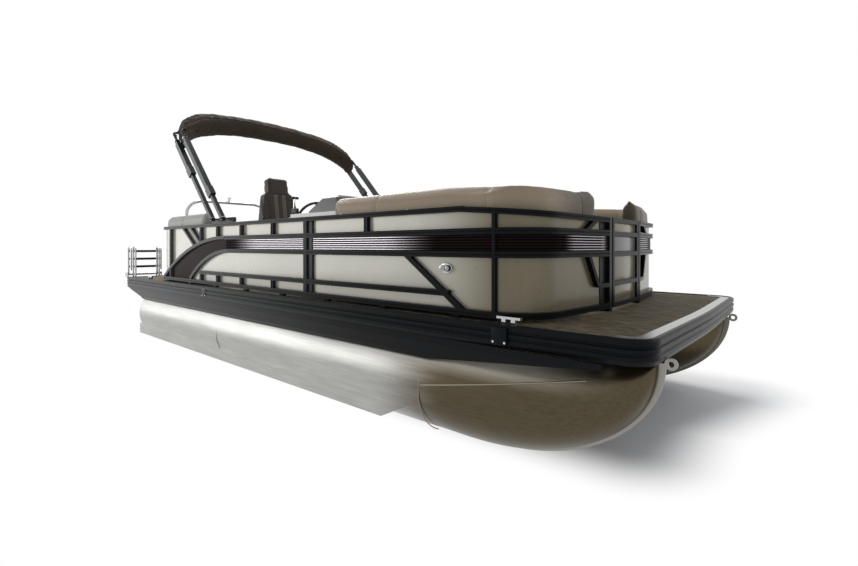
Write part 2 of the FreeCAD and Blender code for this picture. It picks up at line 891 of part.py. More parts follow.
def clamp_bracket():
    """Two cheeks bolted to the transom, joined by hooks over it and by the tilt pin."""
    aft = back(s.transom_back)
    cheek = s.clamp_plate
    outline = [(aft, tilt_z - s.clamp_drop), (aft, tilt_z - s.tilt_rise), (aft + s.clamp_hook, tilt_z - s.tilt_rise),
               (aft + s.clamp_hook, tilt_z), (aft, tilt_z + s.tilt_rise, s.tilt_rise / 2),
               (aft - s.clamp_reach, tilt_z + s.tilt_rise, s.tilt_rise / 2),
               (aft - s.clamp_reach, tilt_z - s.clamp_drop * 0.5)]
    starboard = slab(outline, cheek, (0, -s.clamp_half_width, 0), SIDE_VIEW)
    port = slab(outline, cheek, (0, s.clamp_half_width + cheek, 0), SIDE_VIEW)
    pin = rod(tilt_x, -s.clamp_half_width - cheek, tilt_z, s.tilt_pin_radius,
              (s.clamp_half_width + cheek) * 2, ALONG_Y)
    node(fuse(starboard, port, pin), "engine_clamp_bracket")


def swivel_bracket():
    """The block that tilts on the pin and carries the upright steering barrel."""
    half = s.swivel_half_width
    axis = -s.steer_axis_back
    barrel = rod(axis, 0, -s.barrel_drop, s.barrel_radius, s.barrel_drop + s.barrel_top)
    boss_radius = s.tilt_pin_radius * 1.9
    boss = rod(0, -half, 0, boss_radius, half * 2, ALONG_Y)
    arm = box(axis, -half * 0.7, -boss_radius, s.steer_axis_back, half * 1.4, boss_radius * 2)
    bore = rod(0, -half * 1.5, 0, s.tilt_pin_radius + s.running_gap, half * 3, ALONG_Y)
    steer_bore = rod(axis, 0, -s.barrel_drop * 2, s.steer_pin_radius + s.running_gap, s.barrel_drop * 3)
    node(on_engine(cut(fuse(barrel, boss, arm), bore, steer_bore)), "engine_swivel_bracket")


def engine_leg():
    """The leg behind the steering barrel, its two yokes, and the gearcase with its fin."""
    front = -s.leg_front
    axis = -s.steer_axis_back
    half = s.leg_width / 2
    outline = [(front, -half, half * 0.6), (front, half, half * 0.6),
               (front - s.leg_length, half * 0.5, half * 0.3), (front - s.leg_length, -half * 0.5, half * 0.3)]
    strut = slab(outline, s.leg_drop + s.cowl_bottom, (0, 0, -s.leg_drop))
    yokes = []
    for floor in (s.barrel_top + s.yoke_gap, -s.barrel_drop - s.yoke_gap - s.yoke_thickness):
        arm = box(front - s.leg_length / 2, -s.barrel_radius, floor,
                  s.leg_length / 2 + s.leg_front - s.steer_axis_back, s.barrel_radius * 2, s.yoke_thickness)
        knuckle = rod(axis, 0, floor, s.barrel_radius, s.yoke_thickness)
        yokes += [arm, knuckle]
    pin_foot = -s.barrel_drop - s.yoke_gap
    pin = rod(axis, 0, pin_foot, s.steer_pin_radius, s.barrel_top + s.yoke_gap - pin_foot)
    mid = fuse(strut, pin, *yokes)
    node(on_engine(mid), "engine_leg")
    torpedo_front = -s.gear_front
    r = s.gear_radius
    length = s.gear_length
    bullet = turned([(0, 0), (r * 0.7, 0), (r, length * 0.15), (r, length * 0.6), (r * 0.6, length * 0.9), (0, length)],
                    (torpedo_front - length, 0, -s.gear_drop), ALONG_X)
    plate_x = front - s.leg_length * 1.25
    plate = slab([(plate_x, -s.plate_width / 2, s.plate_width * 0.4),
                  (plate_x + s.plate_length, -s.plate_width / 4, s.plate_width * 0.2),
                  (plate_x + s.plate_length, s.plate_width / 4, s.plate_width * 0.2),
                  (plate_x, s.plate_width / 2, s.plate_width * 0.4)], s.plate_thickness, (0, 0, -s.plate_drop))
    foil_front = torpedo_front - length * 0.3
    foil_back = foil_front - length * 0.55
    foil = slab([(foil_front, -r * 0.1), (foil_front, r * 0.1), (foil_front - r, r * 0.5), (foil_back, r * 0.1),
                 (foil_back, -r * 0.1), (foil_front - r, -r * 0.5)],
                s.gear_drop - s.leg_drop, (0, 0, -s.gear_drop))
    skeg = slab([(foil_front - r * 0.3, -s.gear_drop), (foil_front - s.skeg_length * 0.5, -s.skeg_drop),
                 (foil_front - s.skeg_length, -s.skeg_drop), (foil_front - s.skeg_length * 0.8, -s.gear_drop)],
                s.skeg_width, (0, s.skeg_width / 2, 0), SIDE_VIEW)
    shaft_length = s.prop_gap + s.prop_hub_length * 0.8
    shaft = rod(torpedo_front - length - shaft_length, 0, -s.gear_drop, s.prop_shaft_radius,
                shaft_length + length * 0.2, ALONG_X)
    node(on_engine(fuse(bullet, plate, foil, skeg, shaft)), "engine_gearcase")


def rounded_ring(centre_x, z, length, width, corner_share):
    """A closed ring of a rounded rectangle at height z, for a loft."""
    dx = float(length) / 2
    dy = float(width) / 2
    r = min(dx, dy) * corner_share
    x = float(centre_x)
    corners = [(x - dx, -dy), (x + dx, -dy), (x + dx, dy), (x - dx, dy)]
    edges = []
    ends = []
    for i, (cx, cy) in enumerate(corners):
        before = vec(*corners[i - 1], z)
        after = vec(*corners[(i + 1) % 4], z)
        entry, leave, centre = rounding(before, vec(cx, cy, z), after, r)
        middle = centre + (vec(cx, cy, z) - centre).normalize() * r
        edges.append(Part.Arc(entry, middle, leave).toShape())
        ends.append((entry, leave))
    lines = [Part.makeLine(ends[i][1], ends[(i + 1) % 4][0]) for i in range(4)]
    return Part.Wire(Part.__sortEdges__(edges + lines))


def engine_cowl():
    """The moulded cowl over the motor, widest at its shoulders."""
    shares = [(0, 0.82, 0.84, 0.02), (0.12, 0.94, 0.94, 0.01), (0.3, 1, 1, 0), (0.7, 0.98, 0.96, 0),
              (0.9, 0.84, 0.82, -0.02), (1, 0.6, 0.6, -0.04)]
    rings = []
    for up, long_share, wide_share, shift in shares:
        centre = -s.cowl_centre_back + s.cowl_length * shift
        rings.append(rounded_ring(centre, s.cowl_bottom + s.cowl_height * up,
                                  s.cowl_length * long_share, s.cowl_width * wide_share, 0.55))
    node(on_engine(feature(Part.makeLoft(rings, True, False))), "engine_cowl")


def propeller():
    """Three swept blades on a hub, behind the gearcase."""
    hub_x = -s.gear_front - s.gear_length - s.prop_gap
    length = s.prop_hub_length
    hub = rod(hub_x - length, 0, -s.gear_drop, s.prop_hub_radius, length, ALONG_X)
    reach = s.prop_radius
    width_shares = [(0.2, 0.22), (0.55, 0.44), (0.85, 0.4), (1, 0.16)]
    leading = [(reach * a, reach * b) for a, b in width_shares]
    trailing = [(x, y * -0.75) for x, y in reversed(leading)]
    blades = []
    for turn in (0, 120, 240):
        twist = FreeCAD.Rotation(FreeCAD.Vector(1, 0, 0), turn).multiply(
            FreeCAD.Rotation(FreeCAD.Vector(0, 0, 1), 28)).multiply(
            FreeCAD.Rotation(FreeCAD.Vector(0, 1, 0), -90))
        blades.append(slab(leading + trailing, s.blade_thickness, (hub_x - length / 2, 0, -s.gear_drop), twist))
    shaft_bore = rod(hub_x - s.prop_hub_length * 0.82, 0, -s.gear_drop, s.prop_shaft_radius + s.running_gap,
                     s.prop_hub_length, ALONG_X)
    node(on_engine(cut(fuse(hub, *blades), shaft_bore)), "propeller")


def build_outboard():
    clamp_bracket()
    swivel_bracket()
    engine_leg()
    engine_cowl()
    propeller()


# Fence: its plan path runs from the stern gate round the starboard side to the bow gate
TO_STARBOARD = FreeCAD.Rotation(FreeCAD.Vector(0, 0, 1), -90)


def fence_plan(depth):
    """The fence's path from stern gate to bow gate at this depth inside its outer face."""
    side = s.fence_half - depth
    stern = back(s.fence_stern_back) + depth
    gate_side = s.gate_post_half + s.gate_post_width / 2
    slope = (s.front_corner_back - s.gate_line_back) / (s.fence_half - gate_side)
    shift = depth * root(slope * slope + 1)
    return [(stern, -s.stern_gate_left - s.gate_post_width),
            (stern, -side, s.stern_corner_radius - depth),
            (back(s.front_corner_back) - shift + depth * slope, -side, s.front_corner_radius - depth),
            (back(s.gate_line_back) - shift, -gate_side)]


def rail_section(height):
    """A fence rail's section, with its outer face at x 0 and a groove along the middle of it."""
    deep = s.rail_depth
    groove = s.rail_groove
    return [(0, 0), (deep, 0), (deep, height), (0, height), (0, height * 0.6), (groove, height * 0.54),
            (groove, height * 0.46), (0, height * 0.4)]


def fence_bar(points, rise, height, depth=None):
    """A bar along the fence: a grooved rail, or a plain sheet where a depth is given."""
    x0, y0 = points[0][:2]
    toward_stern = [(-(p[1] - y0), p[0] - x0) + tuple(p[2:]) for p in points]
    section = [(0, 0), (depth, 0), (depth, height), (0, height)] if depth else rail_section(height)
    return pipe(toward_stern, section, (x0, y0, above_deck(rise)), TO_STARBOARD)


def side_bar(start_back, end_back, rise, height):
    """A straight rail on the starboard side between two places."""
    return slab(rail_section(height), start_back - end_back, (back(start_back), -s.fence_half, above_deck(rise)),
                END_VIEW)


def post(at_back, low, high, width, inset=0):
    """A plain upright between two heights on the starboard side."""
    return box(back(at_back) - width / 2, -s.fence_half + inset, above_deck(low), width, s.rail_depth - inset, high - low)


def upright(at_back, low, high):
    """A shallow channel that holds the edges of two panels, between two heights on the side."""
    half = s.upright_width / 2
    inner = half - s.upright_edge
    web = s.upright_web
    outline = [(-half, 0), (-inner, 0), (-inner, web), (inner, web), (inner, 0), (half, 0),
               (half, s.rail_depth), (-half, s.rail_depth)]
    return slab(outline, high - low, (back(at_back), -s.fence_half, above_deck(low)))


def arc_rail(start_back, radius, end_back, top_rise, height):
    """A rail that drops to the deck at the stern along an arc, in side view."""
    centre = vec(back(start_back), 0, above_deck(top_rise) - radius)
    outer = float(radius)
    inner = float(radius - height)
    reach = float(end_back - start_back)
    edges = []
    for r in (outer, inner):
        sweep = math.asin(min(1.0, reach / outer))
        points = [centre + FreeCAD.Vector(-r * math.sin(a), 0, r * math.cos(a)) for a in (0, sweep / 2, sweep)]
        edges.append(Part.Arc(*points).toShape())
    ends = [Part.makeLine(edges[0].Vertexes[i].Point, edges[1].Vertexes[i].Point) for i in (0, 1)]
    face = Part.Face(Part.Wire(Part.__sortEdges__(edges + ends)))
    rail = face.extrude(vec(0, s.rail_depth, 0))
    rail.translate(vec(0, -s.fence_half, 0))
    return feature(rail)


def fence_frame():
    """The charcoal frame of the starboard fence: rails, posts, uprights, brace and arches."""
    plan = fence_plan(0)
    slope_x = back(s.bow_slope_back)
    flat_end = plan[:2] + [(slope_x + s.rail_height, -s.fence_half)]
    rails = [fence_bar(plan, s.bottom_rail_rise, s.rail_height),
             fence_bar(flat_end, s.top_rail_rise, s.top_rail_height),
             bow_top_rail(plan, slope_x)]
    side_start = [(back(s.arc_start_back), -s.fence_half), plan[2], plan[3]]
    for rise in (s.band_low_rise, s.band_high_rise):
        rails.append(pipe(from_start(side_start), rail_section(s.rail_height),
                          (side_start[0][0], -s.fence_half, above_deck(rise))))
    rails.append(side_bar(s.upright_back_5 + s.rail_height, s.brace_foot_back + s.rail_height * 1.5,
                          s.lower_rail_rise, s.rail_height))
    top = s.band_high_rise + s.rail_height
    rails.append(arc_rail(s.arc_start_back, s.arc_radius, s.arc_end_back, top, s.arc_rail_height))
    rails.append(arc_rail(s.inner_arc_start_back, s.inner_arc_radius, s.upright_back_5 + s.seam_back / 3,
                          s.band_low_rise + s.rail_height, s.arc_rail_height))
    rails.append(post(s.mid_post_back, s.bottom_rail_rise, s.top_rail_rise, s.mid_post_width))
    rails.append(post(s.seam_back, s.bottom_rail_rise, s.top_rail_rise, s.seam_width, s.seam_inset))
    rails.append(upright(s.stern_upright_back, s.bottom_rail_rise, s.top_rail_rise))
    for spot in (s.upright_back_1, s.upright_back_2, s.upright_back_3, s.upright_back_4, s.upright_back_5):
        low = top - s.rail_height / 2
        if spot in (s.upright_back_4, s.upright_back_5):
            drop = spot - s.arc_start_back
            low = low - (s.arc_radius - root(s.arc_radius * s.arc_radius - drop * drop))
        rails.append(upright(spot, low, s.top_rail_rise))
        if spot is not s.upright_back_1:
            rails.append(upright(spot, s.bottom_rail_rise, s.lower_rail_rise + s.rail_height / 2))
    rails.append(brace(s.brace_top_back, s.band_low_rise, s.brace_foot_back, s.bottom_rail_rise + s.rail_height))
    rails += risers() + gate_posts() + stern_stays() + bow_stays()
    return fuse(*rails)


def bow_slope():
    """Where the top rail starts to slope at the bow, how far it runs, and the turn that tips it down."""
    start = back(s.bow_slope_back)
    run = back(s.gate_line_back) - start
    angle = math.degrees(math.atan(float(s.bow_rail_drop / run)))
    return start, run, FreeCAD.Rotation(FreeCAD.Vector(0, 1, 0), angle)


def bow_top_rail(plan, slope_x):
    """The top rail round the bow corner, which slopes down to the gate."""
    start, run, down = bow_slope()
    stretch = root(s.bow_rail_drop * s.bow_rail_drop + run * run) / run
    points = [(p[0] * stretch, p[1]) + p[2:] for p in from_start([(slope_x, -s.fence_half), plan[2], plan[3]])]
    return pipe(points, rail_section(s.top_rail_height), (start, -s.fence_half, above_deck(s.top_rail_rise)), down)


def brace(top_back, top_rise, foot_back, foot_rise):
    """The broad diagonal on the side of the fence, from the band down to the bottom rail."""
    top_x = back(top_back)
    foot_x = back(foot_back)
    wide = s.brace_width
    top_z = above_deck(top_rise)
    foot_z = above_deck(foot_rise)
    outline = [(top_x, top_z), (foot_x, foot_z), (foot_x + wide * 1.6, foot_z), (top_x + wide * 1.6, top_z)]
    return slab(outline, s.rail_depth, (0, -s.fence_half + s.rail_depth, 0), SIDE_VIEW)


def stern_stays():
    """Two flat diagonals from the top rail down to the outer arch at the stern."""
    top = above_deck(s.top_rail_rise + s.top_rail_height / 2)
    foot = above_deck(s.band_low_rise)
    run = (top - foot) / s.stern_stay_slope_share
    wide = s.stern_stay_width
    radius = s.arc_radius - s.arc_rail_height / 2
    under_arch = rod(back(s.arc_start_back), -half_beam, above_deck(s.band_high_rise + s.rail_height) - s.arc_radius,
                     radius, half_beam, ALONG_Y)
    stays = []
    for i in range(2):
        x = back(s.stern_stay_back - s.stern_stay_pitch * i)
        outline = [(x, top), (x + run, foot), (x + run + wide, foot), (x + wide, top)]
        stays.append(cut(slab(outline, s.rail_depth, (0, -s.fence_half + s.rail_depth, 0), SIDE_VIEW), under_arch))
    return stays


def bow_stays():
    """On the fence's front face, a short diagonal above the band and a bent bar below it."""
    inner = s.gate_post_half + s.gate_post_width / 2
    slope = (s.front_corner_back - s.gate_line_back) / (s.fence_half - inner)
    aside = FreeCAD.Vector(-float(slope), -1, 0).normalize()
    facing = FreeCAD.Rotation(aside, FreeCAD.Vector(0, 0, 1), aside.cross(FreeCAD.Vector(0, 0, 1)), "XYZ")
    at = (back(s.gate_line_back), -inner, deck_top)
    high = s.top_rail_rise - s.bow_rail_drop + s.top_rail_height / 2
    low = s.band_high_rise + s.rail_height / 2
    near = s.bow_stay_foot_side - inner
    far = s.bow_stay_top_side - inner
    wide = s.bow_stay_width * root((high - low) * (high - low) + (far - near) * (far - near)) / (high - low)
    upper = slab([(near, high), (near + wide, high), (far + wide, low), (far, low)], s.rail_depth, at, facing)
    floor = s.bow_stay_rise
    bend = s.bow_stay_bottom_side - inner
    top = s.band_low_rise + s.rail_height / 2
    run = (far - bend) / (top - floor)
    wide = s.bow_stay_width * root(run * run + 1)
    roof = floor + s.bow_stay_width
    r = s.bow_stay_bend
    lower = slab([(0, floor), (bend, floor, r), (far, top), (far - wide, top),
                  (bend + s.bow_stay_width * run - wide, roof, r - s.bow_stay_width), (0, roof)], s.rail_depth, at, facing)
    return [upper, lower]


def risers():
    """Small blocks that hold the bottom rail above the deck."""
    blocks = []
    count = int(float((s.stern_upright_back - s.riser_first_back) / s.riser_pitch)) + 1
    for i in range(count):
        spot = s.riser_first_back + s.riser_pitch * i
        blocks.append(box(back(spot), -s.fence_half, deck_top, s.riser_width, s.rail_depth, s.bottom_rail_rise))
    return blocks


def gate_posts():
    """The deep posts that close the fence at the bow gate and at the stern gate."""
    high = s.top_rail_rise - s.bow_rail_drop + s.top_rail_height
    bow = box(back(s.gate_line_back) - s.gate_post_depth, -s.gate_post_half - s.gate_post_width / 2, deck_top,
              s.gate_post_depth, s.gate_post_width, high)
    stern = box(back(s.fence_stern_back), -s.stern_gate_left - s.gate_post_width, deck_top,
                s.rail_depth, s.gate_post_width, s.top_rail_rise + s.top_rail_height)
    return [bow, stern]


def fence_panel():
    """The cream sheet behind the rails, cut to follow the sloping top rail at the bow."""
    sheet_low = s.bottom_rail_rise + s.rail_height / 2
    sheet_high = s.top_rail_rise + s.top_rail_height / 2
    wall = fence_bar(fence_plan(s.rail_depth), sheet_low, sheet_high - sheet_low, s.panel_thickness)
    slope_x, run, down = bow_slope()
    lid = box(slope_x, -half_beam, above_deck(sheet_high), run * 2, half_beam, s.bow_rail_drop * 4, down)
    return cut(wall, lid, *gate_posts())


def ribbed_section(low, high):
    """A louvred strip's section: a plate whose face has horizontal ribs."""
    count = int(float((high - low) / s.band_rib_pitch))
    step = (high - low) / count
    face = []
    for i in range(count):
        face += [(s.band_rib_depth, step * i), (0, step * (i + 0.35)), (0, step * (i + 0.75))]
    face.append((s.band_rib_depth, high - low))
    return [(s.band_depth, 0)] + face + [(s.band_depth, high - low)]


def fence_band():
    """The louvred band along the fence, and the smooth curved panel it ends in at the stern."""
    low = s.band_low_rise + s.rail_height
    high = s.band_high_rise
    inset = s.rail_depth - s.band_depth
    plan = fence_plan(inset)
    points = from_start([(back(s.arc_start_back), -s.fence_half + inset), plan[2], plan[3]])
    louvre = pipe(points, ribbed_section(low, high),
                  (back(s.arc_start_back), -s.fence_half + inset, above_deck(low)))
    return louvre


def swoosh_panel():
    """The smooth burgundy panel between the two arches at the stern."""
    outer_r = float(s.arc_radius - s.arc_rail_height)
    inner_r = float(s.inner_arc_radius)
    outer_c = vec(back(s.arc_start_back), 0, above_deck(s.band_high_rise + s.rail_height) - s.arc_radius)
    inner_c = vec(back(s.inner_arc_start_back), 0, above_deck(s.band_low_rise + s.rail_height) - s.inner_arc_radius)
    floor = float(above_deck(s.bottom_rail_rise + s.rail_height))

    def arc_down(centre, radius):
        sweep = math.acos((floor - centre.z) / radius)
        points = [centre + FreeCAD.Vector(-radius * math.sin(a), 0, radius * math.cos(a)) for a in (0, sweep / 2, sweep)]
        return points

    outer = arc_down(outer_c, outer_r)
    inner = arc_down(inner_c, inner_r)
    edges = [Part.Arc(*outer).toShape(), Part.Arc(*inner).toShape(), Part.makeLine(outer[2], inner[2]),
             Part.makeLine(outer[0], FreeCAD.Vector(outer[0].x, 0, inner[0].z)),
             Part.makeLine(FreeCAD.Vector(outer[0].x, 0, inner[0].z), inner[0])]
    face = Part.Face(Part.Wire(Part.__sortEdges__(edges)))
    plate = face.extrude(vec(0, s.swoosh_plate, 0))
    plate.translate(vec(0, -s.fence_half + s.rail_depth - s.swoosh_plate, 0))
    return feature(plate)


def held(piece, at, turn):
    """A piece that was made in its own frame, set where it belongs in the boat."""
    holder = doc.addObject("Part::Compound", "Placed")
    holder.Links = [piece]
    return place(holder, *at, turn)


def hinge_side(post_side):
    """A gate's two hinge halves in the gate's frame: pinned knuckles for the post, bored for the gate."""
    r = s.hinge_radius
    high = s.hinge_height
    pin = s.hinge_pin_radius
    axis_x = -r - s.seat_gap * 3
    axis_y = s.gate_depth + r
    pieces = []
    for rise in (s.hinge_low, s.hinge_high):
        if post_side:
            pieces += [rod(axis_x, axis_y, rise - high, r, high), rod(axis_x, axis_y, rise - high, pin, high * 2),
                       box(-s.hinge_gap - r, s.gate_depth, rise - high, s.hinge_gap + r + axis_x, s.hinge_leaf, high)]
        else:
            floor = rise + s.seat_gap
            knuckle = fuse(rod(axis_x, axis_y, floor, r, high),
                           box(axis_x, s.gate_depth, floor, r * 2 - axis_x, s.hinge_leaf, high))
            bore = rod(axis_x, axis_y, rise - high, pin + s.running_gap, high * 3)
            pieces.append(cut(knuckle, bore))
    return pieces


def gate(name, opening, drop, at, turn):
    """A gate in its own frame: hinge stile at x 0, outer face at y 0 and the inside at +y."""
    width = opening - s.hinge_gap - s.gate_gap
    deep = s.gate_depth
    tube = s.gate_tube
    floor = s.bottom_rail_rise
    top = s.top_rail_rise + s.top_rail_height - drop
    bars = [box(0, 0, floor, tube, deep, top - floor), box(width - tube, 0, floor, tube, deep, top - floor)]
    for rise in (floor, s.lower_rail_rise + s.rail_height, s.band_low_rise, s.band_high_rise, top - tube):
        bars.append(box(0, 0, rise, width, deep, tube))
    panel = box(tube / 2, deep / 2, floor + tube / 2, width - tube, s.panel_thickness, top - floor - tube)
    node(held(fuse(panel, *bars, *hinge_side(False)), at, turn), name)
    return held(fuse(*hinge_side(True)), at, turn)


def gates():
    """The bow, side and stern gates; hands back the hinge halves that their posts carry."""
    half = s.gate_post_half - s.gate_post_width / 2
    turn = FreeCAD.Rotation(FreeCAD.Vector(0, 0, 1), 90)
    bow = gate("bow_gate", half * 2, s.bow_rail_drop, (back(s.gate_line_back), s.hinge_gap - half, deck_top), turn)
    turn = FreeCAD.Rotation(FreeCAD.Vector(0, 0, 1), 180)
    side = gate("side_gate", s.side_gate_width, 0, (back(s.side_gate_back) - s.hinge_gap, s.fence_half, deck_top), turn)
    turn = FreeCAD.Rotation(FreeCAD.Vector(0, 0, 1), -90)
    port = s.stern_gate_width - s.stern_gate_left
    stern = gate("stern_gate", s.stern_gate_width, 0,
                 (back(s.fence_stern_back), port - s.hinge_gap, deck_top), turn)
    return bow, side, stern


def fences():
    """Both side fences; the port one has the side gate's opening and the stern wall's port part."""
    bow_hinge, side_hinge, stern_hinge = gates()
    frame = fence_frame()
    panel = fence_panel()
    band = cut(fuse(fence_band(), swoosh_panel()), frame)
    node(fuse(frame, bow_hinge), "fence_frame_starboard")
    node(panel, "fence_panel_starboard")
    node(band, "fence_band_starboard")
    start = back(s.side_gate_back + s.side_gate_width)
    opening = box(start, 0, deck_top, s.side_gate_width, half_beam, s.top_rail_rise * 2)
    deep = s.gate_post_depth / 2
    post_height = s.top_rail_rise + s.top_rail_height
    posts = [box(x, s.fence_half - deep, deck_top, s.gate_post_width, deep, post_height)
             for x in (start - s.gate_post_width, start + s.side_gate_width)]
    frame_wall, panel_wall = stern_wall()
    node(fuse(cut(mirror(frame), opening), *posts, side_hinge, stern_hinge, frame_wall), "fence_frame_port")
    tools = [opening] + posts
    node(fuse(cut(mirror(panel), *tools), panel_wall), "fence_panel_port")
    node(cut(mirror(band), *tools), "fence_band_port")


def stern_wall():
    """The port part of the stern fence, from the stern gate to the corner: its frame and sheet."""
    x = back(s.fence_stern_back)
    inner = s.stern_gate_width - s.stern_gate_left
    outer = s.stern_gate_left + s.gate_post_width
    post = box(x, inner, deck_top, s.gate_post_depth / 2, s.gate_post_width, s.top_rail_rise + s.top_rail_height)
    bars = [post]
    for rise, height in ((s.bottom_rail_rise, s.rail_height), (s.top_rail_rise, s.top_rail_height)):
        bars.append(box(x, inner, above_deck(rise), s.rail_depth, outer - inner, height))
    low = s.bottom_rail_rise + s.rail_height / 2
    high = s.top_rail_rise + s.top_rail_height / 2
    start = inner + s.gate_post_width
    wall = box(x + s.rail_depth, start, above_deck(low), s.panel_thickness, outer - start, high - low)
    return fuse(*bars), wall


def seat_base(x_aft, x_front, y_inner, y_outer):
    """A moulded seat locker: an open box of walls with a floor, cut to the fence's stern corner."""
    wall = s.seat_wall
    height = s.seat_height - s.seat_cushion
    block = box(x_aft, -y_outer, deck_top, x_front - x_aft, y_outer - y_inner, height)
    inside = slab([(lounge_aft, 0), (lounge_aft, -lining_side, lining[1][2]), (s.deck_front, -lining_side),
                   (s.deck_front, 0)], height, (0, 0, deck_top))
    outer = common(block, inside)
    inner = box(x_aft + wall, -y_outer + wall, deck_top + wall, x_front - x_aft - wall * 2,
                y_outer - y_inner - wall * 2, height)
    return cut(outer, inner)


def cushion(x_aft, x_front, y_inner, y_outer, aft_radius, front_radius):
    """A plain seat cushion on the starboard side, with its two outboard corners rounded."""
    small = s.swing_gap
    outline = [(x_aft, -y_inner, small), (x_aft, -y_outer, aft_radius), (x_front, -y_outer, front_radius),
               (x_front, -y_inner, small)]
    floor = above_deck(s.seat_height - s.seat_cushion) + s.seat_gap
    return slab(outline, s.seat_cushion, (0, 0, floor))


def backrest(points):
    """A padded back that follows the fence inside: a rounded slab along a plan path."""
    x0, y0 = points[0][:2]
    toward = [(-(p[1] - y0), p[0] - x0) + tuple(p[2:]) for p in points]
    foot = s.seat_height - s.seat_cushion + s.seat_gap
    high = s.backrest_top - foot
    r = s.backrest_round
    thick = s.backrest_thickness
    section = [(0, 0), (thick, 0), (thick * 0.8, high, r), (0, high, r)]
    return pipe(toward, section, (x0, y0, above_deck(foot)), TO_STARBOARD)


# The fence's inner face, which the lounges lie against
wall_depth = s.rail_depth + s.panel_thickness + s.seat_gap
lining = fence_plan(wall_depth)
lining_side = s.fence_half - wall_depth
pad_side = lining_side - s.backrest_thickness
lounge_aft = lining[0][0]
shade_side = s.fence_half + s.shade_out


def bow_lounges():
    """The two bow lounges: locker, hinged seat cushion and one long back round the corner."""
    aft = back(s.bow_seat_aft_back)
    seat_front = back(s.bow_seat_front_back)
    base = seat_base(aft, seat_front, s.bow_seat_inner, lining_side - s.backrest_thickness / 2)
    node(group(base, mirror(base)), "bow_seat_bases")
    pad = cushion(aft + s.backrest_thickness + s.swing_gap, seat_front, s.bow_seat_inner, pad_side - s.swing_gap,
                  s.cushion_aft_corner, s.cushion_corner)
    node(pad, "bow_seat_cushion_starboard")
    node(mirror(pad), "bow_seat_cushion_port")
    share = (s.bow_back_inner + lining[3][1]) / (lining[2][1] - lining[3][1])
    end_x = lining[3][0] + (lining[3][0] - lining[2][0]) * share
    path = [(aft, -s.bow_seat_inner), (aft, -lining_side, s.bow_aft_corner), lining[2], (end_x, -s.bow_back_inner)]
    back_pad = backrest(path)
    node(group(back_pad, mirror(back_pad)), "bow_backrests")


def stern_lounges():
    """The L-shaped lounge to port and the corner seat behind the helm."""
    gap = s.swing_gap
    aft = lounge_aft
    front = back(s.port_seat_front_back)
    outer = lining_side - s.backrest_thickness / 2
    long_base = seat_base(aft, front, s.port_seat_inner, outer)
    stern_base = seat_base(aft, aft + s.stern_seat_depth, s.port_stern_inner, s.port_seat_inner - s.seat_gap)
    corner_front = back(s.corner_seat_front_back)
    corner_base = seat_base(aft, corner_front, s.corner_seat_inner, outer)
    node(group(mirror(long_base), mirror(stern_base), corner_base), "stern_seat_bases")
    row = aft + s.stern_seat_depth
    pad_outer = pad_side - gap
    lid = cushion(row + gap, front, s.port_seat_inner, pad_outer, gap, gap)
    node(mirror(lid), "port_lounge_cushion")
    stern_pad = cushion(aft + s.backrest_thickness + s.seat_gap, row, s.port_stern_inner, pad_outer, gap * 2, gap)
    node(mirror(stern_pad), "stern_lounge_cushion")
    corner = (aft, -lining_side, lining[1][2])
    node(mirror(backrest([(aft, -s.port_stern_inner), corner, (front, -lining_side)])), "port_lounge_backrest")
    pad = cushion(aft + s.backrest_thickness + gap, corner_front, s.corner_seat_inner, pad_outer, gap * 2, gap)
    node(pad, "corner_seat_cushion")
    node(backrest([(aft, -s.corner_seat_inner), corner, (corner_front, -lining_side)]), "corner_seat_backrest")


def helm():
    """The helm console with its moulded pod, the steering wheel and the captain's chair."""
    front = back(s.console_front_back)
    aft = front - s.console_length
    side = -s.helm_side
    half = s.console_width / 2
    wall = s.console_wall
    r = s.console_round
    high = s.console_height

    def footprint(inset):
        return [(aft + inset, side - half + inset, r - inset), (front - inset, side - half + inset, r - inset),
                (front - inset, side + half - inset, r - inset), (aft + inset, side + half - inset, r - inset)]

    shell = slab(footprint(0), high, (0, 0, deck_top))
    hollow = slab(footprint(wall), high - wall, (0, 0, deck_top))
    node(fuse(cut(shell, hollow), steering_column()), "helm_console")
    pod_aft = aft + s.dash_setback
    slope = s.dash_brow - s.dash_setback
    length = s.console_length - s.dash_setback
    shares = [(0, 0, 0, 1), (0.12, 0.04, 0, 1), (0.86, 0.86, 0.7, 0.95), (1, 1.1, 1, 0.88)]
    rings = []
    for up, aft_share, front_share, wide_share in shares:
        ring_aft = pod_aft + slope * aft_share
        ring_front = pod_aft + length - s.dash_nose * front_share
        rings.append(rounded_ring((ring_aft + ring_front) / 2, deck_top + high + s.seat_gap + s.dash_height * up,
                                  ring_front - ring_aft, s.console_width * wide_share, 0.25))
    pod = feature(Part.makeLoft(rings, True, True))
    place(pod, 0, side, 0)
    node(pod, "helm_dash")
    steering_wheel()
    captains_chair()


RAKED = FreeCAD.Rotation(FreeCAD.Vector(0, 1, 0), -float(s.wheel_tilt))


def on_column(distance):
    """A place on the steering column's axis, this far aft and up of the wheel's centre."""
    return (back(s.wheel_back) - distance * sine(s.wheel_tilt), -s.helm_side,
            above_deck(s.wheel_rise) + distance * cosine(s.wheel_tilt))


def steering_column():
    """The raked column below the wheel, and the shaft that carries the wheel."""
    foot = s.wheel_hub + s.seat_gap + s.column_length
    column = rod(*on_column(-foot), s.column_radius, s.column_length, RAKED)
    shaft = rod(*on_column(-foot), s.wheel_shaft_radius, foot, RAKED)
    return fuse(column, shaft)


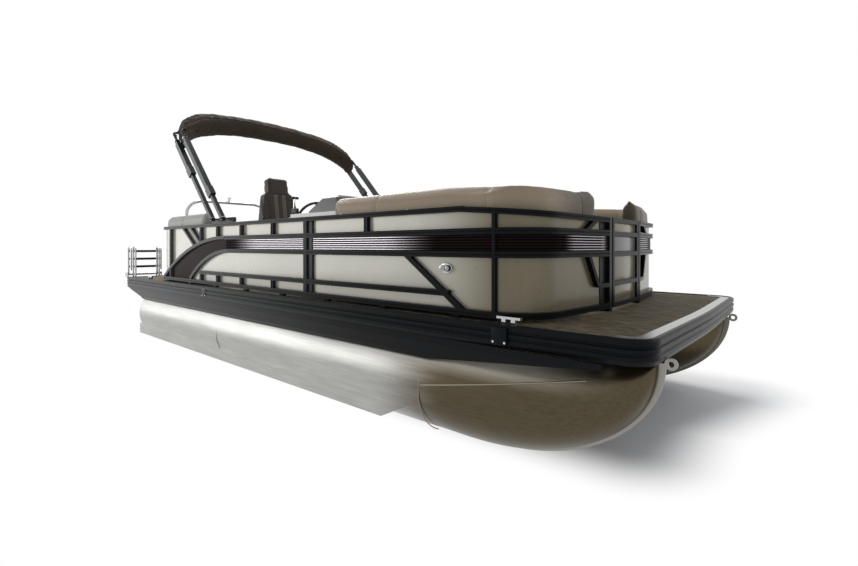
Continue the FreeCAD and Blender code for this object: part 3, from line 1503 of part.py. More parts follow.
def steering_wheel():
    """A rim, a bored hub and three spokes on the raked column."""
    rim = doc.addObject("Part::Torus", "Rim")
    bind(rim, "Radius1", s.wheel_radius)
    bind(rim, "Radius2", s.wheel_rim)
    hub = turned([(0, -s.wheel_hub), (s.wheel_hub, -s.wheel_hub), (s.wheel_hub, s.wheel_rim), (0, s.wheel_rim)])
    spoke_x = s.wheel_hub / 2
    spoke = box(spoke_x, -s.wheel_rim, -s.wheel_rim / 2, s.wheel_radius - spoke_x, s.wheel_rim * 2, s.wheel_rim)
    spokes = [held(spoke, (0, 0, 0), FreeCAD.Rotation(FreeCAD.Vector(0, 0, 1), angle)) for angle in (0, 120, 240)]
    bore = rod(0, 0, -s.wheel_hub * 2, s.wheel_shaft_radius + s.running_gap, s.wheel_hub * 2 + s.wheel_rim / 2)
    wheel = cut(fuse(rim, hub, *spokes), bore)
    node(held(wheel, on_column(0), RAKED), "steering_wheel")


def captains_chair():
    """Pedestal, seat with arms, back with headrest; the seat swivels on the pedestal's shaft."""
    x = back(s.chair_back)
    y = -s.chair_side
    foot = s.pedestal_foot_radius
    post = s.pedestal_radius
    rise = s.chair_seat_height
    low = s.pedestal_foot_height
    pin = s.chair_shaft_radius
    pin_top = rise + s.chair_shaft_height
    node(turned([(0, 0), (foot, 0), (foot, low * 0.4), (post * 1.6, low), (post, low * 2), (post, rise), (pin, rise),
                 (pin, pin_top), (0, pin_top)], (x, y, deck_top)), "chair_pedestal")
    half = s.chair_seat_width / 2
    length = s.chair_seat_length
    thick = s.chair_seat_thickness
    base = above_deck(rise) + s.seat_gap
    seat = slab([(-length / 2, -half, thick / 2), (length / 2, -half, thick), (length / 2, half, thick),
                 (-length / 2, half, thick / 2)], thick, (x, y, base))
    bore = rod(x, y, deck_top, pin + s.running_gap, pin_top + s.seat_gap * 2)
    arms = []
    for way in (-1, 1):
        pad_y = y + half if way > 0 else y - half - s.arm_width
        pad_x = x - length / 2 + s.arm_setback
        pad = box(pad_x, pad_y, above_deck(rise + s.arm_rise), s.arm_length, s.arm_width, s.arm_height)
        stay = box(pad_x, pad_y, base, s.arm_width, s.arm_width, s.arm_rise)
        arms += [pad, stay]
    node(fuse(cut(seat, bore), *arms), "chair_seat")
    lean = FreeCAD.Rotation(FreeCAD.Vector(0, 1, 0), -float(s.chair_back_tilt))
    wide = s.chair_back_width
    tall = s.chair_back_height
    deep = s.chair_back_thickness
    rear = FreeCAD.Rotation(lean).multiply(END_VIEW)
    slope = sine(s.chair_back_tilt)
    rise_share = cosine(s.chair_back_tilt)
    foot_x = x - length / 2
    foot_z = base + thick + s.seat_gap
    face = [(-wide / 2, 0, deep / 2), (wide / 2, 0, deep / 2), (wide * 0.34, tall, deep / 2),
            (-wide * 0.34, tall, deep / 2)]
    rest = slab(face, deep, (foot_x, y, foot_z), rear)
    reach = s.bolster_depth
    profile = [(0, 0), (reach, 0, deep / 3), (reach, tall * 0.4, deep), (deep * 0.9, tall * 0.85, deep / 3),
               (0, tall * 0.85)]
    side_on = FreeCAD.Rotation(lean).multiply(SIDE_VIEW)
    bolsters = [slab(profile, s.bolster_width, (foot_x, y + out, foot_z), side_on)
                for out in (wide / 2, s.bolster_width - wide / 2)]
    wings = common(slab(face, reach, (foot_x, y, foot_z), rear), fuse(*bolsters))
    head = s.headrest_width
    head_rise = tall - s.headrest_height * 0.1
    pillow = slab([(-head / 2, 0, deep / 3), (head / 2, 0, deep / 3), (head * 0.42, s.headrest_height, deep / 3),
                   (-head * 0.42, s.headrest_height, deep / 3)], s.headrest_thickness,
                  (foot_x - head_rise * slope, y, foot_z + head_rise * rise_share), rear)
    node(fuse(rest, wings, pillow), "chair_backrest")


def build_cockpit():
    bow_lounges()
    stern_lounges()
    helm()


LEANED = FreeCAD.Rotation(FreeCAD.Vector(0, 1, 0), -float(s.shade_tilt))


def shade_leg(pivot_x, side, sleeve_foot):
    """One telescoping leg of the sunshade, with an eye at each end for its pivot pins."""
    tube = s.shade_tube
    outer = s.shade_outer_tube
    clamp = s.shade_clamp
    length = s.shade_leg_length
    foot = (pivot_x, side, above_deck(s.shade_pivot_rise))
    top = (pivot_x - length * sine(s.shade_tilt), side, foot[2] + length * cosine(s.shade_tilt))
    bars = [box(-tube / 2, -tube / 2, 0, tube, tube, length),
            box(-outer / 2, -outer / 2, sleeve_foot, outer, outer, length - sleeve_foot - outer),
            box(-clamp / 2, -outer / 2, sleeve_foot, clamp, outer, s.shade_clamp_length)]
    eyes = []
    bores = []
    for spot in (foot, top):
        eyes.append(rod(spot[0], side - tube / 2, spot[2], tube * 0.55, tube, ALONG_Y))
        bores.append(rod(spot[0], side - tube, spot[2], s.shade_pin_radius + s.running_gap, tube * 2, ALONG_Y))
    return cut(fuse(held(fuse(*bars), foot, LEANED), *eyes), *bores)


def sunshade():
    """The folded sunshade held up as an arch: brackets, two pairs of legs and the boot."""
    pivot_z = above_deck(s.shade_pivot_rise)
    aft_x = back(s.aft_pivot_back)
    fore_x = back(s.fore_pivot_back)
    rail_top = above_deck(s.top_rail_rise + s.top_rail_height)
    bracket_x = (aft_x + fore_x) / 2 - s.shade_bracket_length / 2
    plate = box(bracket_x, -s.fence_half, rail_top, s.shade_bracket_length, s.rail_depth, s.shade_bracket_height)
    pin_start = shade_side + s.shade_tube * 0.75
    pin_length = pin_start - s.fence_half + s.rail_depth / 2
    pins = [rod(x, -pin_start, pivot_z, s.shade_pin_radius, pin_length, ALONG_Y)
            for x in (aft_x, fore_x)]
    bracket = fuse(plate, *pins)
    node(group(bracket, mirror(bracket)), "sunshade_brackets")
    for name, x, sleeve_foot in (("aft", aft_x, s.aft_sleeve_foot), ("fore", fore_x, s.fore_sleeve_foot)):
        leg = shade_leg(x, -shade_side, sleeve_foot)
        node(group(leg, mirror(leg)), "sunshade_" + name + "_legs")
    boot(aft_x, fore_x)


# The boot's form from its middle out: distance out, drop of its top and of its foot, and offset
BOOT_SHARES = ((0, 0, 0, 1), (0.29, 0.06, 0.04, 1), (0.57, 0.23, 0.31, 0.95), (0.78, 0.48, 0.71, 0.8),
               (0.88, 0.77, 1, 0.6), (0.95, 1.06, 1.35, 0.35), (1, 1.44, 1.875, 0.1))


def boot_bow(pin):
    """A bow's end beside the boot: it carries on from a leg, then bends into the cloth."""
    rise = s.bow_rise
    path = [(0, 0), (rise, 0, s.bow_bend), (rise + s.bow_tail, s.bow_reach)]
    start = vec(*pin) + LEANED.multVec(vec(0, 0, s.bow_start))
    upward = FreeCAD.Rotation(FreeCAD.Vector(0, 1, 0), -90)
    return pipe(path, [s.bow_tube / 2], tuple(start), LEANED.multiply(upward))


def boot(aft_x, fore_x):
    """The cloth boot round the folded canopy, lofted across the boat, with its bows' ends and pins."""
    crown = s.boot_crown
    high = s.boot_height
    stations = [(-share[0],) + share[1:] for share in BOOT_SHARES[:0:-1]] + list(BOOT_SHARES)
    rings = []
    for out, top, foot, offset in stations:
        ring_top = crown - high * top
        ring_foot = crown - high - high * foot
        ring = rounded_ring((ring_top + ring_foot) / 2, s.boot_end * out, ring_top - ring_foot, s.boot_depth, 0.8)
        ring.translate(vec(0, s.boot_offset * offset, 0))
        rings.append(ring)
    cloth = feature(Part.makeLoft(rings, True, False))
    pivot_z = above_deck(s.shade_pivot_rise)
    place(cloth, (aft_x + fore_x) / 2, 0, pivot_z, LEANED.multiply(STANDING))
    length = s.shade_leg_length
    pin_start = shade_side + s.shade_tube * 0.75
    side = []
    for pivot_x in (aft_x, fore_x):
        pin_x = pivot_x - length * sine(s.shade_tilt)
        pin_z = pivot_z + length * cosine(s.shade_tilt)
        side.append(rod(pin_x, -pin_start, pin_z, s.shade_pin_radius, pin_start - s.boot_end + s.boot_pin_reach,
                        ALONG_Y))
        side.append(boot_bow((pin_x, -shade_side, pin_z)))
    node(fuse(cloth, *side, *[mirror(piece) for piece in side]), "sunshade_boot")


def tow_arch():
    """A polished arch over the motor with a tow hook, on four feet."""
    foot_z = deck_top + s.arch_tube / 4
    foot = (back(s.arch_foot_back), -s.arch_foot_half, foot_z)
    top = (back(s.arch_top_back), -s.arch_top_half, above_deck(s.arch_height))
    r = s.arch_tube / 2
    rake = s.arch_top_back - s.arch_foot_back
    height = s.arch_height - s.arch_tube / 4
    rise = root(height * height + rake * rake)
    splay = s.arch_foot_half - s.arch_top_half
    leg = root(rise * rise + splay * splay)
    across = splay / leg
    along = rise / leg
    corner = s.arch_corner_radius
    path = [(0, 0), (leg, 0, corner),
            (leg + s.arch_top_half * across * 2, s.arch_top_half * along * 2, corner),
            (s.arch_foot_half * across * 2, s.arch_foot_half * along * 2)]
    up_leg = vec(*top) - vec(*foot)
    normal = up_leg.cross(FreeCAD.Vector(0, 1, 0))
    pieces = [pipe(path, [r], foot, FreeCAD.Rotation(up_leg, normal.cross(up_leg), normal, "XZY"))]
    for way in (-1, 1):
        start = (foot[0], s.arch_foot_half * way, foot[2])
        end = (top[0], s.arch_top_half * way, top[2])
        joint = tuple(p + (q - p) * s.arch_brace_share for p, q in zip(start, end))
        brace_foot = (back(s.arch_brace_foot_back), s.arch_brace_foot_half * way, foot_z)
        pieces.append(tube_between(brace_foot, joint, r * 0.8))
        for spot in (start, brace_foot):
            pieces.append(rod(spot[0], spot[1], deck_top, s.arch_flange_radius, s.arch_flange_height))
    pieces.append(rod(top[0], 0, top[2], s.hook_radius, s.hook_height))
    pieces.append(rod(top[0], 0, top[2] + s.hook_height, s.hook_cap_radius, s.hook_radius / 2))
    node(fuse(*pieces), "tow_arch")


def ladder():
    """The boarding ladder, folded up on the stern wing, with its sliding lower part."""
    x = deck_stern - s.ladder_overhang
    r = s.ladder_tube / 2
    floor = above_deck(s.ladder_hinge_rise)
    side = -s.ladder_side
    half = s.ladder_width / 2
    path = [(0, 0), (s.ladder_height, 0, s.ladder_tube * 2), (s.ladder_height, s.ladder_tread * 2, s.ladder_tube * 2),
            (s.ladder_tread, s.ladder_tread * 2)]
    loops = [pipe(path, [r], (x, side + way * half, floor), STANDING) for way in (-1, 1)]
    treads = []
    for i in range(3):
        treads.append(box(x - s.ladder_tread / 2, side - half, floor + s.ladder_first_tread + s.ladder_tread_pitch * i,
                          s.ladder_tread, s.ladder_width, s.ladder_tread_height))
    eye = rod(x, side - half, floor, s.ladder_hinge_radius * 2, s.ladder_width, ALONG_Y)
    bore = rod(x, side - half * 2, floor, s.ladder_hinge_radius + s.running_gap, s.ladder_width * 2, ALONG_Y)
    node(cut(fuse(*loops, *treads, eye), bore), "boarding_ladder")
    ear_gap = s.ladder_tread / 2
    pin = rod(x, side - half - ear_gap, floor, s.ladder_hinge_radius, s.ladder_width + ear_gap * 2, ALONG_Y)
    ear = s.ladder_hinge_radius
    ears = []
    for y in (side - half - ear_gap, side + half + ear_gap - ear):
        ears.append(box(x - s.ladder_tube, y, deck_top, s.ladder_tread * 1.8, ear, s.ladder_hinge_rise + s.ladder_tube))
        ears.append(box(deck_stern, y - ear, deck_top, s.ladder_tread, ear * 3, ear))
    rail_x = deck_stern + s.hand_rail_reach
    grip = s.hand_rail_length
    rise = s.hand_rail_height
    arch = [(0, 0), (rise, 0, grip * 0.45), (rise, grip, grip * 0.45), (0, grip)]
    for way in (-1, 1):
        rail_y = side + way * (half - s.hand_rail_inset)
        ears.append(pipe(arch, [s.hand_rail_tube / 2], (rail_x, rail_y, deck_top), STANDING))
        ears += [rod(rail_x + run, rail_y, deck_top, s.hand_rail_tube, ear / 2) for run in (0, grip)]
    node(group(fuse(pin, *ears[:4]), *ears[4:]), "ladder_bracket")


def fittings():
    """Cleats at the four corners and docking lights in the bow panels."""
    pieces = []
    for spot in (s.bow_cleat_back, s.stern_cleat_back):
        y = -half_beam + s.cleat_inset
        x = back(spot)
        bar = box(x - s.cleat_length / 2, y - s.cleat_width / 2, above_deck(s.cleat_height * 0.7), s.cleat_length,
                  s.cleat_width, s.cleat_height * 0.3)
        posts = [box(x + way * s.cleat_length * 0.2 - s.cleat_width / 2, y - s.cleat_width / 2, deck_top,
                     s.cleat_width, s.cleat_width, s.cleat_height * 0.8) for way in (-1, 1)]
        pieces.append(fuse(bar, *posts))
    node(group(*pieces, *[mirror(piece) for piece in pieces]), "cleats")
    light = rod(back(s.light_back), -s.fence_half - s.light_reach + s.rail_depth, above_deck(s.light_rise),
                s.light_radius, s.light_reach, ALONG_Y)
    node(group(light, mirror(light)), "docking_lights")


def check_and_write():
    """Stop if any feature failed, then write each sub-part to its own file."""
    doc.recompute()
    failed = [thing.Name + " " + thing.Label for thing in doc.Objects
              if "Invalid" in thing.State or "Error" in thing.State]
    if failed:
        raise RuntimeError("failed features: " + ", ".join(failed))
    os.makedirs("parts", exist_ok=True)
    for piece in nodes:
        shape = piece.Shape
        if shape.isNull() or not shape.isValid() or not shape.Solids:
            raise RuntimeError("bad shape: " + piece.Label)
        shape.exportStep("parts/" + piece.Label + ".step")
        print("%-28s solids %2d  volume %.4f l" % (piece.Label, len(shape.Solids), shape.Volume / 1e6))


build_hull()
build_outboard()
fences()
build_cockpit()
sunshade()
tow_arch()
ladder()
fittings()
check_and_write()
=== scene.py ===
# %% [markdown]
# # Dressing a pontoon boat
# The CAD frame gives every rigid piece at its real place and size. This lesson adds what makes
# it look real: the camera and soft light of the photograph, a finish for each material, stuffed
# seats with seams, the cloth boot over the folded sunshade, and the small hardware.
# All lengths are metres, +X points to the bow, +Y to port and +Z up.

# %% Load the frame
import math
from functools import partialmethod

import bpy
import numpy as np
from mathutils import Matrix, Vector


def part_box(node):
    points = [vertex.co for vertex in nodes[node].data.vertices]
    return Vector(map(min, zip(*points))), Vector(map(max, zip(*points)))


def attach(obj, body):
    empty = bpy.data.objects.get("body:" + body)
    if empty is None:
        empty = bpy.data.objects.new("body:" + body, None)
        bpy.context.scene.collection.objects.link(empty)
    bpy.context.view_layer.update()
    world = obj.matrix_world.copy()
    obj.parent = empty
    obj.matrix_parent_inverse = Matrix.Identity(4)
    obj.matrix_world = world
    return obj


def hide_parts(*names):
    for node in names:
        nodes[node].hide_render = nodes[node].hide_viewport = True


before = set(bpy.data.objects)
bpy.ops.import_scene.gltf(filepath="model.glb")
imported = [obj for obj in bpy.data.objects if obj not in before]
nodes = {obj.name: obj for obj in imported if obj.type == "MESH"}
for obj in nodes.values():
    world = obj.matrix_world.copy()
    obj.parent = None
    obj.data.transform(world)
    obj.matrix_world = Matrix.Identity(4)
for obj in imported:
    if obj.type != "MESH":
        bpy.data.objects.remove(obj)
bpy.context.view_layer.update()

# %% [markdown]
# ## Camera
# The photograph was taken close to the starboard bow with a wide lens, so the bow looms large
# and the stern runs away. The camera looks level, which keeps the posts upright, and the lens is
# shifted a little for the height in the picture.

# %% Camera
CAMERA_PLACE = (4.4143, -3.4365, 1.2270)
CAMERA_TURN = (math.radians(89.86), 0, 0.7109)
bpy.ops.object.camera_add(location=CAMERA_PLACE, rotation=CAMERA_TURN)
camera = bpy.context.object
camera.data.lens = 19.36
camera.data.shift_y = -0.0416
bpy.context.scene.camera = camera
bpy.context.scene.view_settings.view_transform = "Standard"
print("camera at", CAMERA_PLACE, "with a lens of", round(camera.data.lens, 2), "mm")


# %% [markdown]
# ## Shader sums
# Light and finishes are written as sums on the sockets of shader nodes. One class wraps a socket
# and turns + - * < > into Math nodes, and one method makes every other node, so that a finish is
# short enough to read as a sentence.

# %% Shader toolkit
class Wire:
    """The output of a shader node, ready for sums."""

    def __init__(self, bench, socket):
        self.bench = bench
        self.socket = socket

    def math(self, operation, other=0.0, swapped=False):
        values = (other, self) if swapped else (self, other)
        return self.bench.add("ShaderNodeMath", dict(enumerate(values)), operation=operation)

    __add__ = partialmethod(math, "ADD")
    __sub__ = partialmethod(math, "SUBTRACT")
    __rsub__ = partialmethod(math, "SUBTRACT", swapped=True)
    __mul__ = partialmethod(math, "MULTIPLY")
    __lt__ = partialmethod(math, "LESS_THAN")
    __gt__ = partialmethod(math, "GREATER_THAN")


class Bench:
    """The node tree of a new material, or of the world, while it is being built."""

    def __init__(self, owner):
        self.owner = bpy.data.materials.new(owner) if isinstance(owner, str) else owner
        self.owner.use_nodes = True
        self.tree = self.owner.node_tree
        self.surface = self.tree.nodes.get("Principled BSDF")

    def add(self, kind, inputs=None, out=0, **settings):
        """Make a node, set it, feed its inputs and hand back one output."""
        made = self.tree.nodes.new(kind)
        for key, value in settings.items():
            setattr(made, key, value)
        for key, value in (inputs or {}).items():
            self.feed(made.inputs[key], value)
        return Wire(self, made.outputs[out])

    def feed(self, socket, value):
        """Link a wire to a socket, or set the socket to a plain value."""
        if isinstance(value, Wire):
            self.tree.links.new(value.socket, socket)
        elif isinstance(value, tuple) and len(value) == 3 and socket.type == "RGBA":
            socket.default_value = (*value, 1)
        else:
            socket.default_value = value

    def spot(self, stretch=(1, 1, 1)):
        """Object coordinates, stretched per axis."""
        where = self.add("ShaderNodeTexCoord", out="Object")
        return self.add("ShaderNodeMapping", {"Vector": where, "Scale": stretch})

    def axis(self, letter):
        """One object coordinate by its letter."""
        where = self.add("ShaderNodeTexCoord", out="Object")
        return self.add("ShaderNodeSeparateXYZ", {0: where}, letter)

    def rise(self, value, start, end):
        """0 before start, 1 after end, and a smooth slope between them."""
        return self.add("ShaderNodeMapRange", {0: value, 1: start, 2: end},
                        interpolation_type="SMOOTHSTEP")

    def noise(self, scale, stretch=(1, 1, 1), detail=3, rough=0.5):
        return self.add("ShaderNodeTexNoise", {
            "Vector": self.spot(stretch), "Scale": scale, "Detail": detail, "Roughness": rough})

    def bands(self, direction, scale):
        """Parallel waves, for threads and ribs."""
        return self.add("ShaderNodeTexWave", {"Vector": self.spot(), "Scale": scale},
                        bands_direction=direction)

    def blend(self, factor, first, second, kind="MIX"):
        """Mix two colours: inputs 6 and 7 and output 2 of a Mix node are its colours."""
        mixed = self.add("ShaderNodeMix", None, 2, data_type="RGBA", blend_type=kind)
        for count, value in ((0, factor), (6, first), (7, second)):
            self.feed(mixed.socket.node.inputs[count], value)
        return mixed

    def relief(self, height, strength, depth):
        """Let a height tilt the light on the surface."""
        normal = self.add("ShaderNodeBump",
                          {"Strength": strength, "Distance": depth, "Height": height})
        self.feed(self.surface.inputs["Normal"], normal)

    def finish(self, **values):
        """Feed the surface's sockets by name, with _ for a space, and hand back the material."""
        for key, value in values.items():
            self.feed(self.surface.inputs[key.replace("_", " ")], value)
        return self.owner


def shade(colour, factor):
    """A colour made lighter or darker."""
    return tuple(min(1.0, channel * factor) for channel in colour)

# %% [markdown]
# ## World
# A studio has a white backdrop. The world is pure white to the camera, to reflections and
# through glass, and a weaker bluish white where it fills the shadows.

# %% World
FILL_STRENGTH = 0.52
world = bpy.data.worlds.new("studio")
bpy.context.scene.world = world
sky = Bench(world)
sky.tree.nodes.clear()
camera_ray, glossy_ray, glass_ray = [
    sky.add("ShaderNodeLightPath", out=f"Is {kind} Ray")
    for kind in ("Camera", "Glossy", "Transmission")]
seen = camera_ray.math("MAXIMUM", glossy_ray.math("MAXIMUM", glass_ray))
fill = sky.add("ShaderNodeBackground", {"Color": (0.94, 0.97, 1.0), "Strength": FILL_STRENGTH})
white = sky.add("ShaderNodeBackground", {"Color": (1, 1, 1), "Strength": 1.0})
backdrop = sky.add("ShaderNodeMixShader", {0: seen, 1: fill, 2: white})
world_out = sky.tree.nodes.new("ShaderNodeOutputWorld")
sky.feed(world_out.inputs["Surface"], backdrop)
print("world fill", FILL_STRENGTH)


# %% [markdown]
# ## Lamps
# The key lamp stands behind the stern, so its soft shadow falls forward of the bow. A card of
# light on the starboard quarter shines along the side: seen from the bow it mirrors in the aft
# panels and tubes and leaves the bow calm.

# %% Lamps
def softbox(name, place, aim, size, watts, tint):
    """A large rectangular lamp at a place, turned to face a point."""
    bpy.ops.object.light_add(type="AREA", location=place)
    lamp = bpy.context.object
    lamp.name = name
    lamp.rotation_euler = (Vector(aim) - Vector(place)).to_track_quat("-Z", "Y").to_euler()
    lamp.data.shape = "RECTANGLE"
    lamp.data.size, lamp.data.size_y = size
    lamp.data.energy = watts
    lamp.data.color = tint
    lamp.visible_camera = False
    print("lamp", name, watts, "W")


softbox("key", (-6.0, 3.0, 8.0), (0.5, 0, 0.5), (5, 5), 1000, (1, 0.98, 0.95))
softbox("quarter_card", (-9.5, -8.0, 2.7), (0.0, -1.2, 0.9), (9, 5), 330, (1, 1, 1))
softbox("bow", (9.0, 3.5, 4.5), (1.5, 0, 0.8), (3, 3), 60, (0.95, 0.97, 1))


# %% [markdown]
# ## Bare metals
# The tubes are mill-finish sheet: bright, streaked along the boat where it was rolled, and
# slightly uneven, so that reflections wander. At the noses a dark brown reflection is painted
# into the sheet's colour, with a paler painted highlight on top and a lighter painted highlight
# on the keel plate below. Other metals are the same sheet in their own colour and grain.

# %% Bare metals
TUBE_Y = 0.975
TUBE_Z = TUBE_RADIUS = 0.3175
NOSE_START, NOSE_END = 2.20, 2.95
KEEL_START, KEEL_HALF = 2.9, 0.0072


def rolled_metal(name, colour, low, high, grain, wander):
    """Streaked metal: its roughness runs from low to high, and wander bends its reflections."""
    bench = Bench(name)
    streak = bench.noise(9, grain, 4)
    cloud = bench.noise(1.3, detail=2)
    bench.relief(cloud * 0.8 + streak * 0.06, 0.5, wander)
    return bench.finish(
        Base_Color=bench.blend(streak, shade(colour, 0.86), colour), Metallic=1.0,
        Roughness=streak * (high - low) + low)


def tube_metal():
    """Bright rolled sheet; at the nose a streaked dark brown reflection is painted in, with a paler
    painted highlight on top and a lighter painted highlight on the keel plate.
    """
    bench = Bench("mill_aluminium")
    streak = bench.noise(7, (0.5, 14, 14), 5, 0.6)
    cloud = bench.noise(1.1)
    smear = bench.noise(2.4, (0.5, 2.5, 3.5), 4, 0.65)
    x = bench.axis("X")
    # nose: where a dark reflection is painted into the sheet's colour
    nose = bench.rise(x + smear * 0.5, NOSE_START, NOSE_END)
    # top_highlight_mask: the nose's top, painted paler and made less metallic, a painted highlight
    top_highlight_mask = bench.rise(bench.axis("Z"), 0.44, 0.60) * (1 - bench.rise(x, 2.9, 3.7))
    pale = bench.blend(streak, (0.32, 0.32, 0.31), (0.62, 0.62, 0.605))
    dull = bench.blend(smear, (0.60, 0.59, 0.56), (1.0, 1.0, 1.0))
    # a painted dark reflection for the nose, and a paler painted highlight for its top
    painted_dark_reflection = bench.blend(streak, (0.052, 0.041, 0.024), (0.108, 0.088, 0.055))
    sheen = bench.blend(streak, (0.50, 0.46, 0.38), (0.80, 0.76, 0.68))
    painted_nose_tone = bench.blend(top_highlight_mask, painted_dark_reflection, sheen)
    off_centre = (bench.axis("Y").math("ABSOLUTE") - TUBE_Y).math("ABSOLUTE")
    # keel plate: a lighter tone along the nose's keel, a painted highlight
    keel = (off_centre < KEEL_HALF) * (x > KEEL_START)
    tone = bench.blend(nose, bench.blend(1.0, pale, dull, "MULTIPLY"), painted_nose_tone)
    bench.relief(cloud + streak * 0.03, 0.35, 0.006)
    return bench.finish(
        Base_Color=bench.blend(keel, tone, (0.27, 0.26, 0.235)),
        Metallic=1 - nose * top_highlight_mask * 0.9, Roughness=streak * 0.10 + 0.31)


MILL = tube_metal()
# name, colour, lowest and highest roughness, stretch of the streaks, wander
MEMBER, POLISHED, BRUSHED, NOSE_BEAD, BRIGHT = [rolled_metal(*row) for row in (
    ("member_aluminium", (0.50, 0.50, 0.50), 0.34, 0.46, (10, 0.5, 10), 0.003),
    ("polished_steel", (0.50, 0.50, 0.51), 0.06, 0.14, (3, 3, 3), 0.001),
    ("brushed_steel", (0.60, 0.60, 0.61), 0.24, 0.36, (1, 24, 24), 0.001),
    # nose_bead: its brown tint is a painted dark reflection, like the nose sheet
    ("nose_bead", (0.25, 0.225, 0.175), 0.26, 0.38, (0.5, 12, 12), 0.002),
    ("bright_trim", (0.34, 0.335, 0.315), 0.20, 0.34, (0.4, 20, 20), 0.003))]
print("materials with the bare metals:", len(bpy.data.materials))


# %% [markdown]
# ## Paint, moulding and black rails
# Paint and plastic are never one flat colour: they drift a little, and a slow wave bends what
# mirrors in them. The rails are black extrusions; a grey reflection is painted into their colour,
# growing along the boat's length towards the stern.

# %% Paint, moulding and black rails
def coated(name, colour, rough, metal, coat, wave, mottle, fine, ior):
    """Paint or moulded plastic: a slight colour drift, a fine texture and a slow wave."""
    bench = Bench(name)
    drift = bench.noise(2.2)
    peel = bench.noise(260, detail=2)
    slow = bench.noise(2.6, (0.55, 0.55, 1.6), 1)
    bench.relief(slow * wave + peel * fine, 0.6, 0.01)
    return bench.finish(
        Base_Color=bench.blend(drift, shade(colour, 1 - mottle), shade(colour, 1 + mottle)),
        Metallic=metal, Coat_Weight=coat, Coat_Roughness=0.08, IOR=ior,
        Roughness=bench.noise(30) * 0.08 + (rough - 0.04))


def rail_black(name, rough):
    """Black anodised rail: nearly black at the bow, with a grey reflection painted in towards the
    stern.
    """
    bench = Bench(name)
    # aft: a grey reflection painted into the colour, growing towards the stern
    aft = 1 - bench.rise(bench.axis("X"), -2.8, 2.3)
    base = bench.blend(bench.noise(2.2), (0.0045, 0.005, 0.0058), (0.0065, 0.007, 0.0078))
    bench.relief(bench.noise(2.6, (0.55, 0.55, 1.6), 1), 0.04, 0.01)
    return bench.finish(
        Base_Color=bench.blend(aft, base, (0.082, 0.083, 0.086)), IOR=1.15,
        Roughness=bench.noise(30) * 0.08 + (rough - 0.04))


CHARCOAL = rail_black("rail_black", 0.30)
RUB = rail_black("rub_rail_vinyl", 0.34)
# name, colour, roughness, metal, coat, wave, mottle, fine texture, index of refraction
SHADE_TUBE, COWL, LEG, BLACK, CONSOLE, DASH, BASE, RUBBER, GREY, PIPING = [coated(*row) for row in (
    ("sunshade_tube", (0.014, 0.017, 0.020), 0.22, 0, 0, 0.02, 0.10, 0, 1.22),
    ("cowl_gloss", (0.024, 0.025, 0.028), 0.16, 0.2, 0.9, 0.05, 0.10, 0, 1.5),
    ("leg_gloss", (0.032, 0.033, 0.036), 0.24, 0.2, 0.6, 0.05, 0.10, 0, 1.5),
    ("satin_black", (0.012, 0.012, 0.0125), 0.42, 0, 0, 0, 0.14, 0.008, 1.35),
    ("console_gelcoat", (0.46, 0.455, 0.43), 0.22, 0, 0.6, 0.06, 0.03, 0, 1.5),
    ("dash_skin", (0.045, 0.044, 0.043), 0.40, 0, 0.1, 0.02, 0.10, 0.012, 1.5),
    ("seat_base_moulding", (0.33, 0.31, 0.265), 0.5, 0, 0, 0.05, 0.05, 0.02, 1.5),
    ("black_rubber", (0.015, 0.015, 0.016), 0.62, 0, 0, 0, 0.18, 0.02, 1.35),
    ("grey_sheet", (0.085, 0.083, 0.078), 0.30, 0.2, 0.2, 0, 0.06, 0, 1.5),
    ("boot_piping", (0.010, 0.008, 0.007), 0.6, 0, 0, 0, 0.2, 0.02, 1.5))]
print("materials with the paints:", len(bpy.data.materials))


# %% [markdown]
# ## Fence sheet and louvres
# The sheet is a champagne metallic, silver along the side; round the bow a dark brown reflection
# is painted into its colour.
# The louvres are black slots, darkened further as painted shade, between ribs with a painted
# highlight, and the same band runs into a plain burgundy panel at the stern.

# %% Fence finishes
ARCH_START = -0.28
BAND_LOW, BAND_HIGH = 1.197, 1.296
RIBS = 6


def champagne_sheet():
    """Silver champagne along the side, and a streaked dark brown reflection painted in round the
    bow.
    """
    bench = Bench("champagne_sheet")
    streaks = bench.noise(5, (1.4, 1.4, 0.12), 3, 0.6)
    # bow: where a streaked dark reflection is painted over the silver
    bow = bench.rise(bench.axis("X"), 2.50, 3.06)
    side = bench.blend(bench.noise(1.4), (0.350, 0.338, 0.285), (0.410, 0.398, 0.345))
    front = bench.blend(streaks, (0.118, 0.099, 0.058), (0.180, 0.155, 0.098))
    return bench.finish(
        Base_Color=bench.blend(bow, side, front), Metallic=0.22, Coat_Weight=0.30,
        Coat_Roughness=0.07, IOR=1.3, Roughness=bench.noise(9) * 0.10 + 0.24)


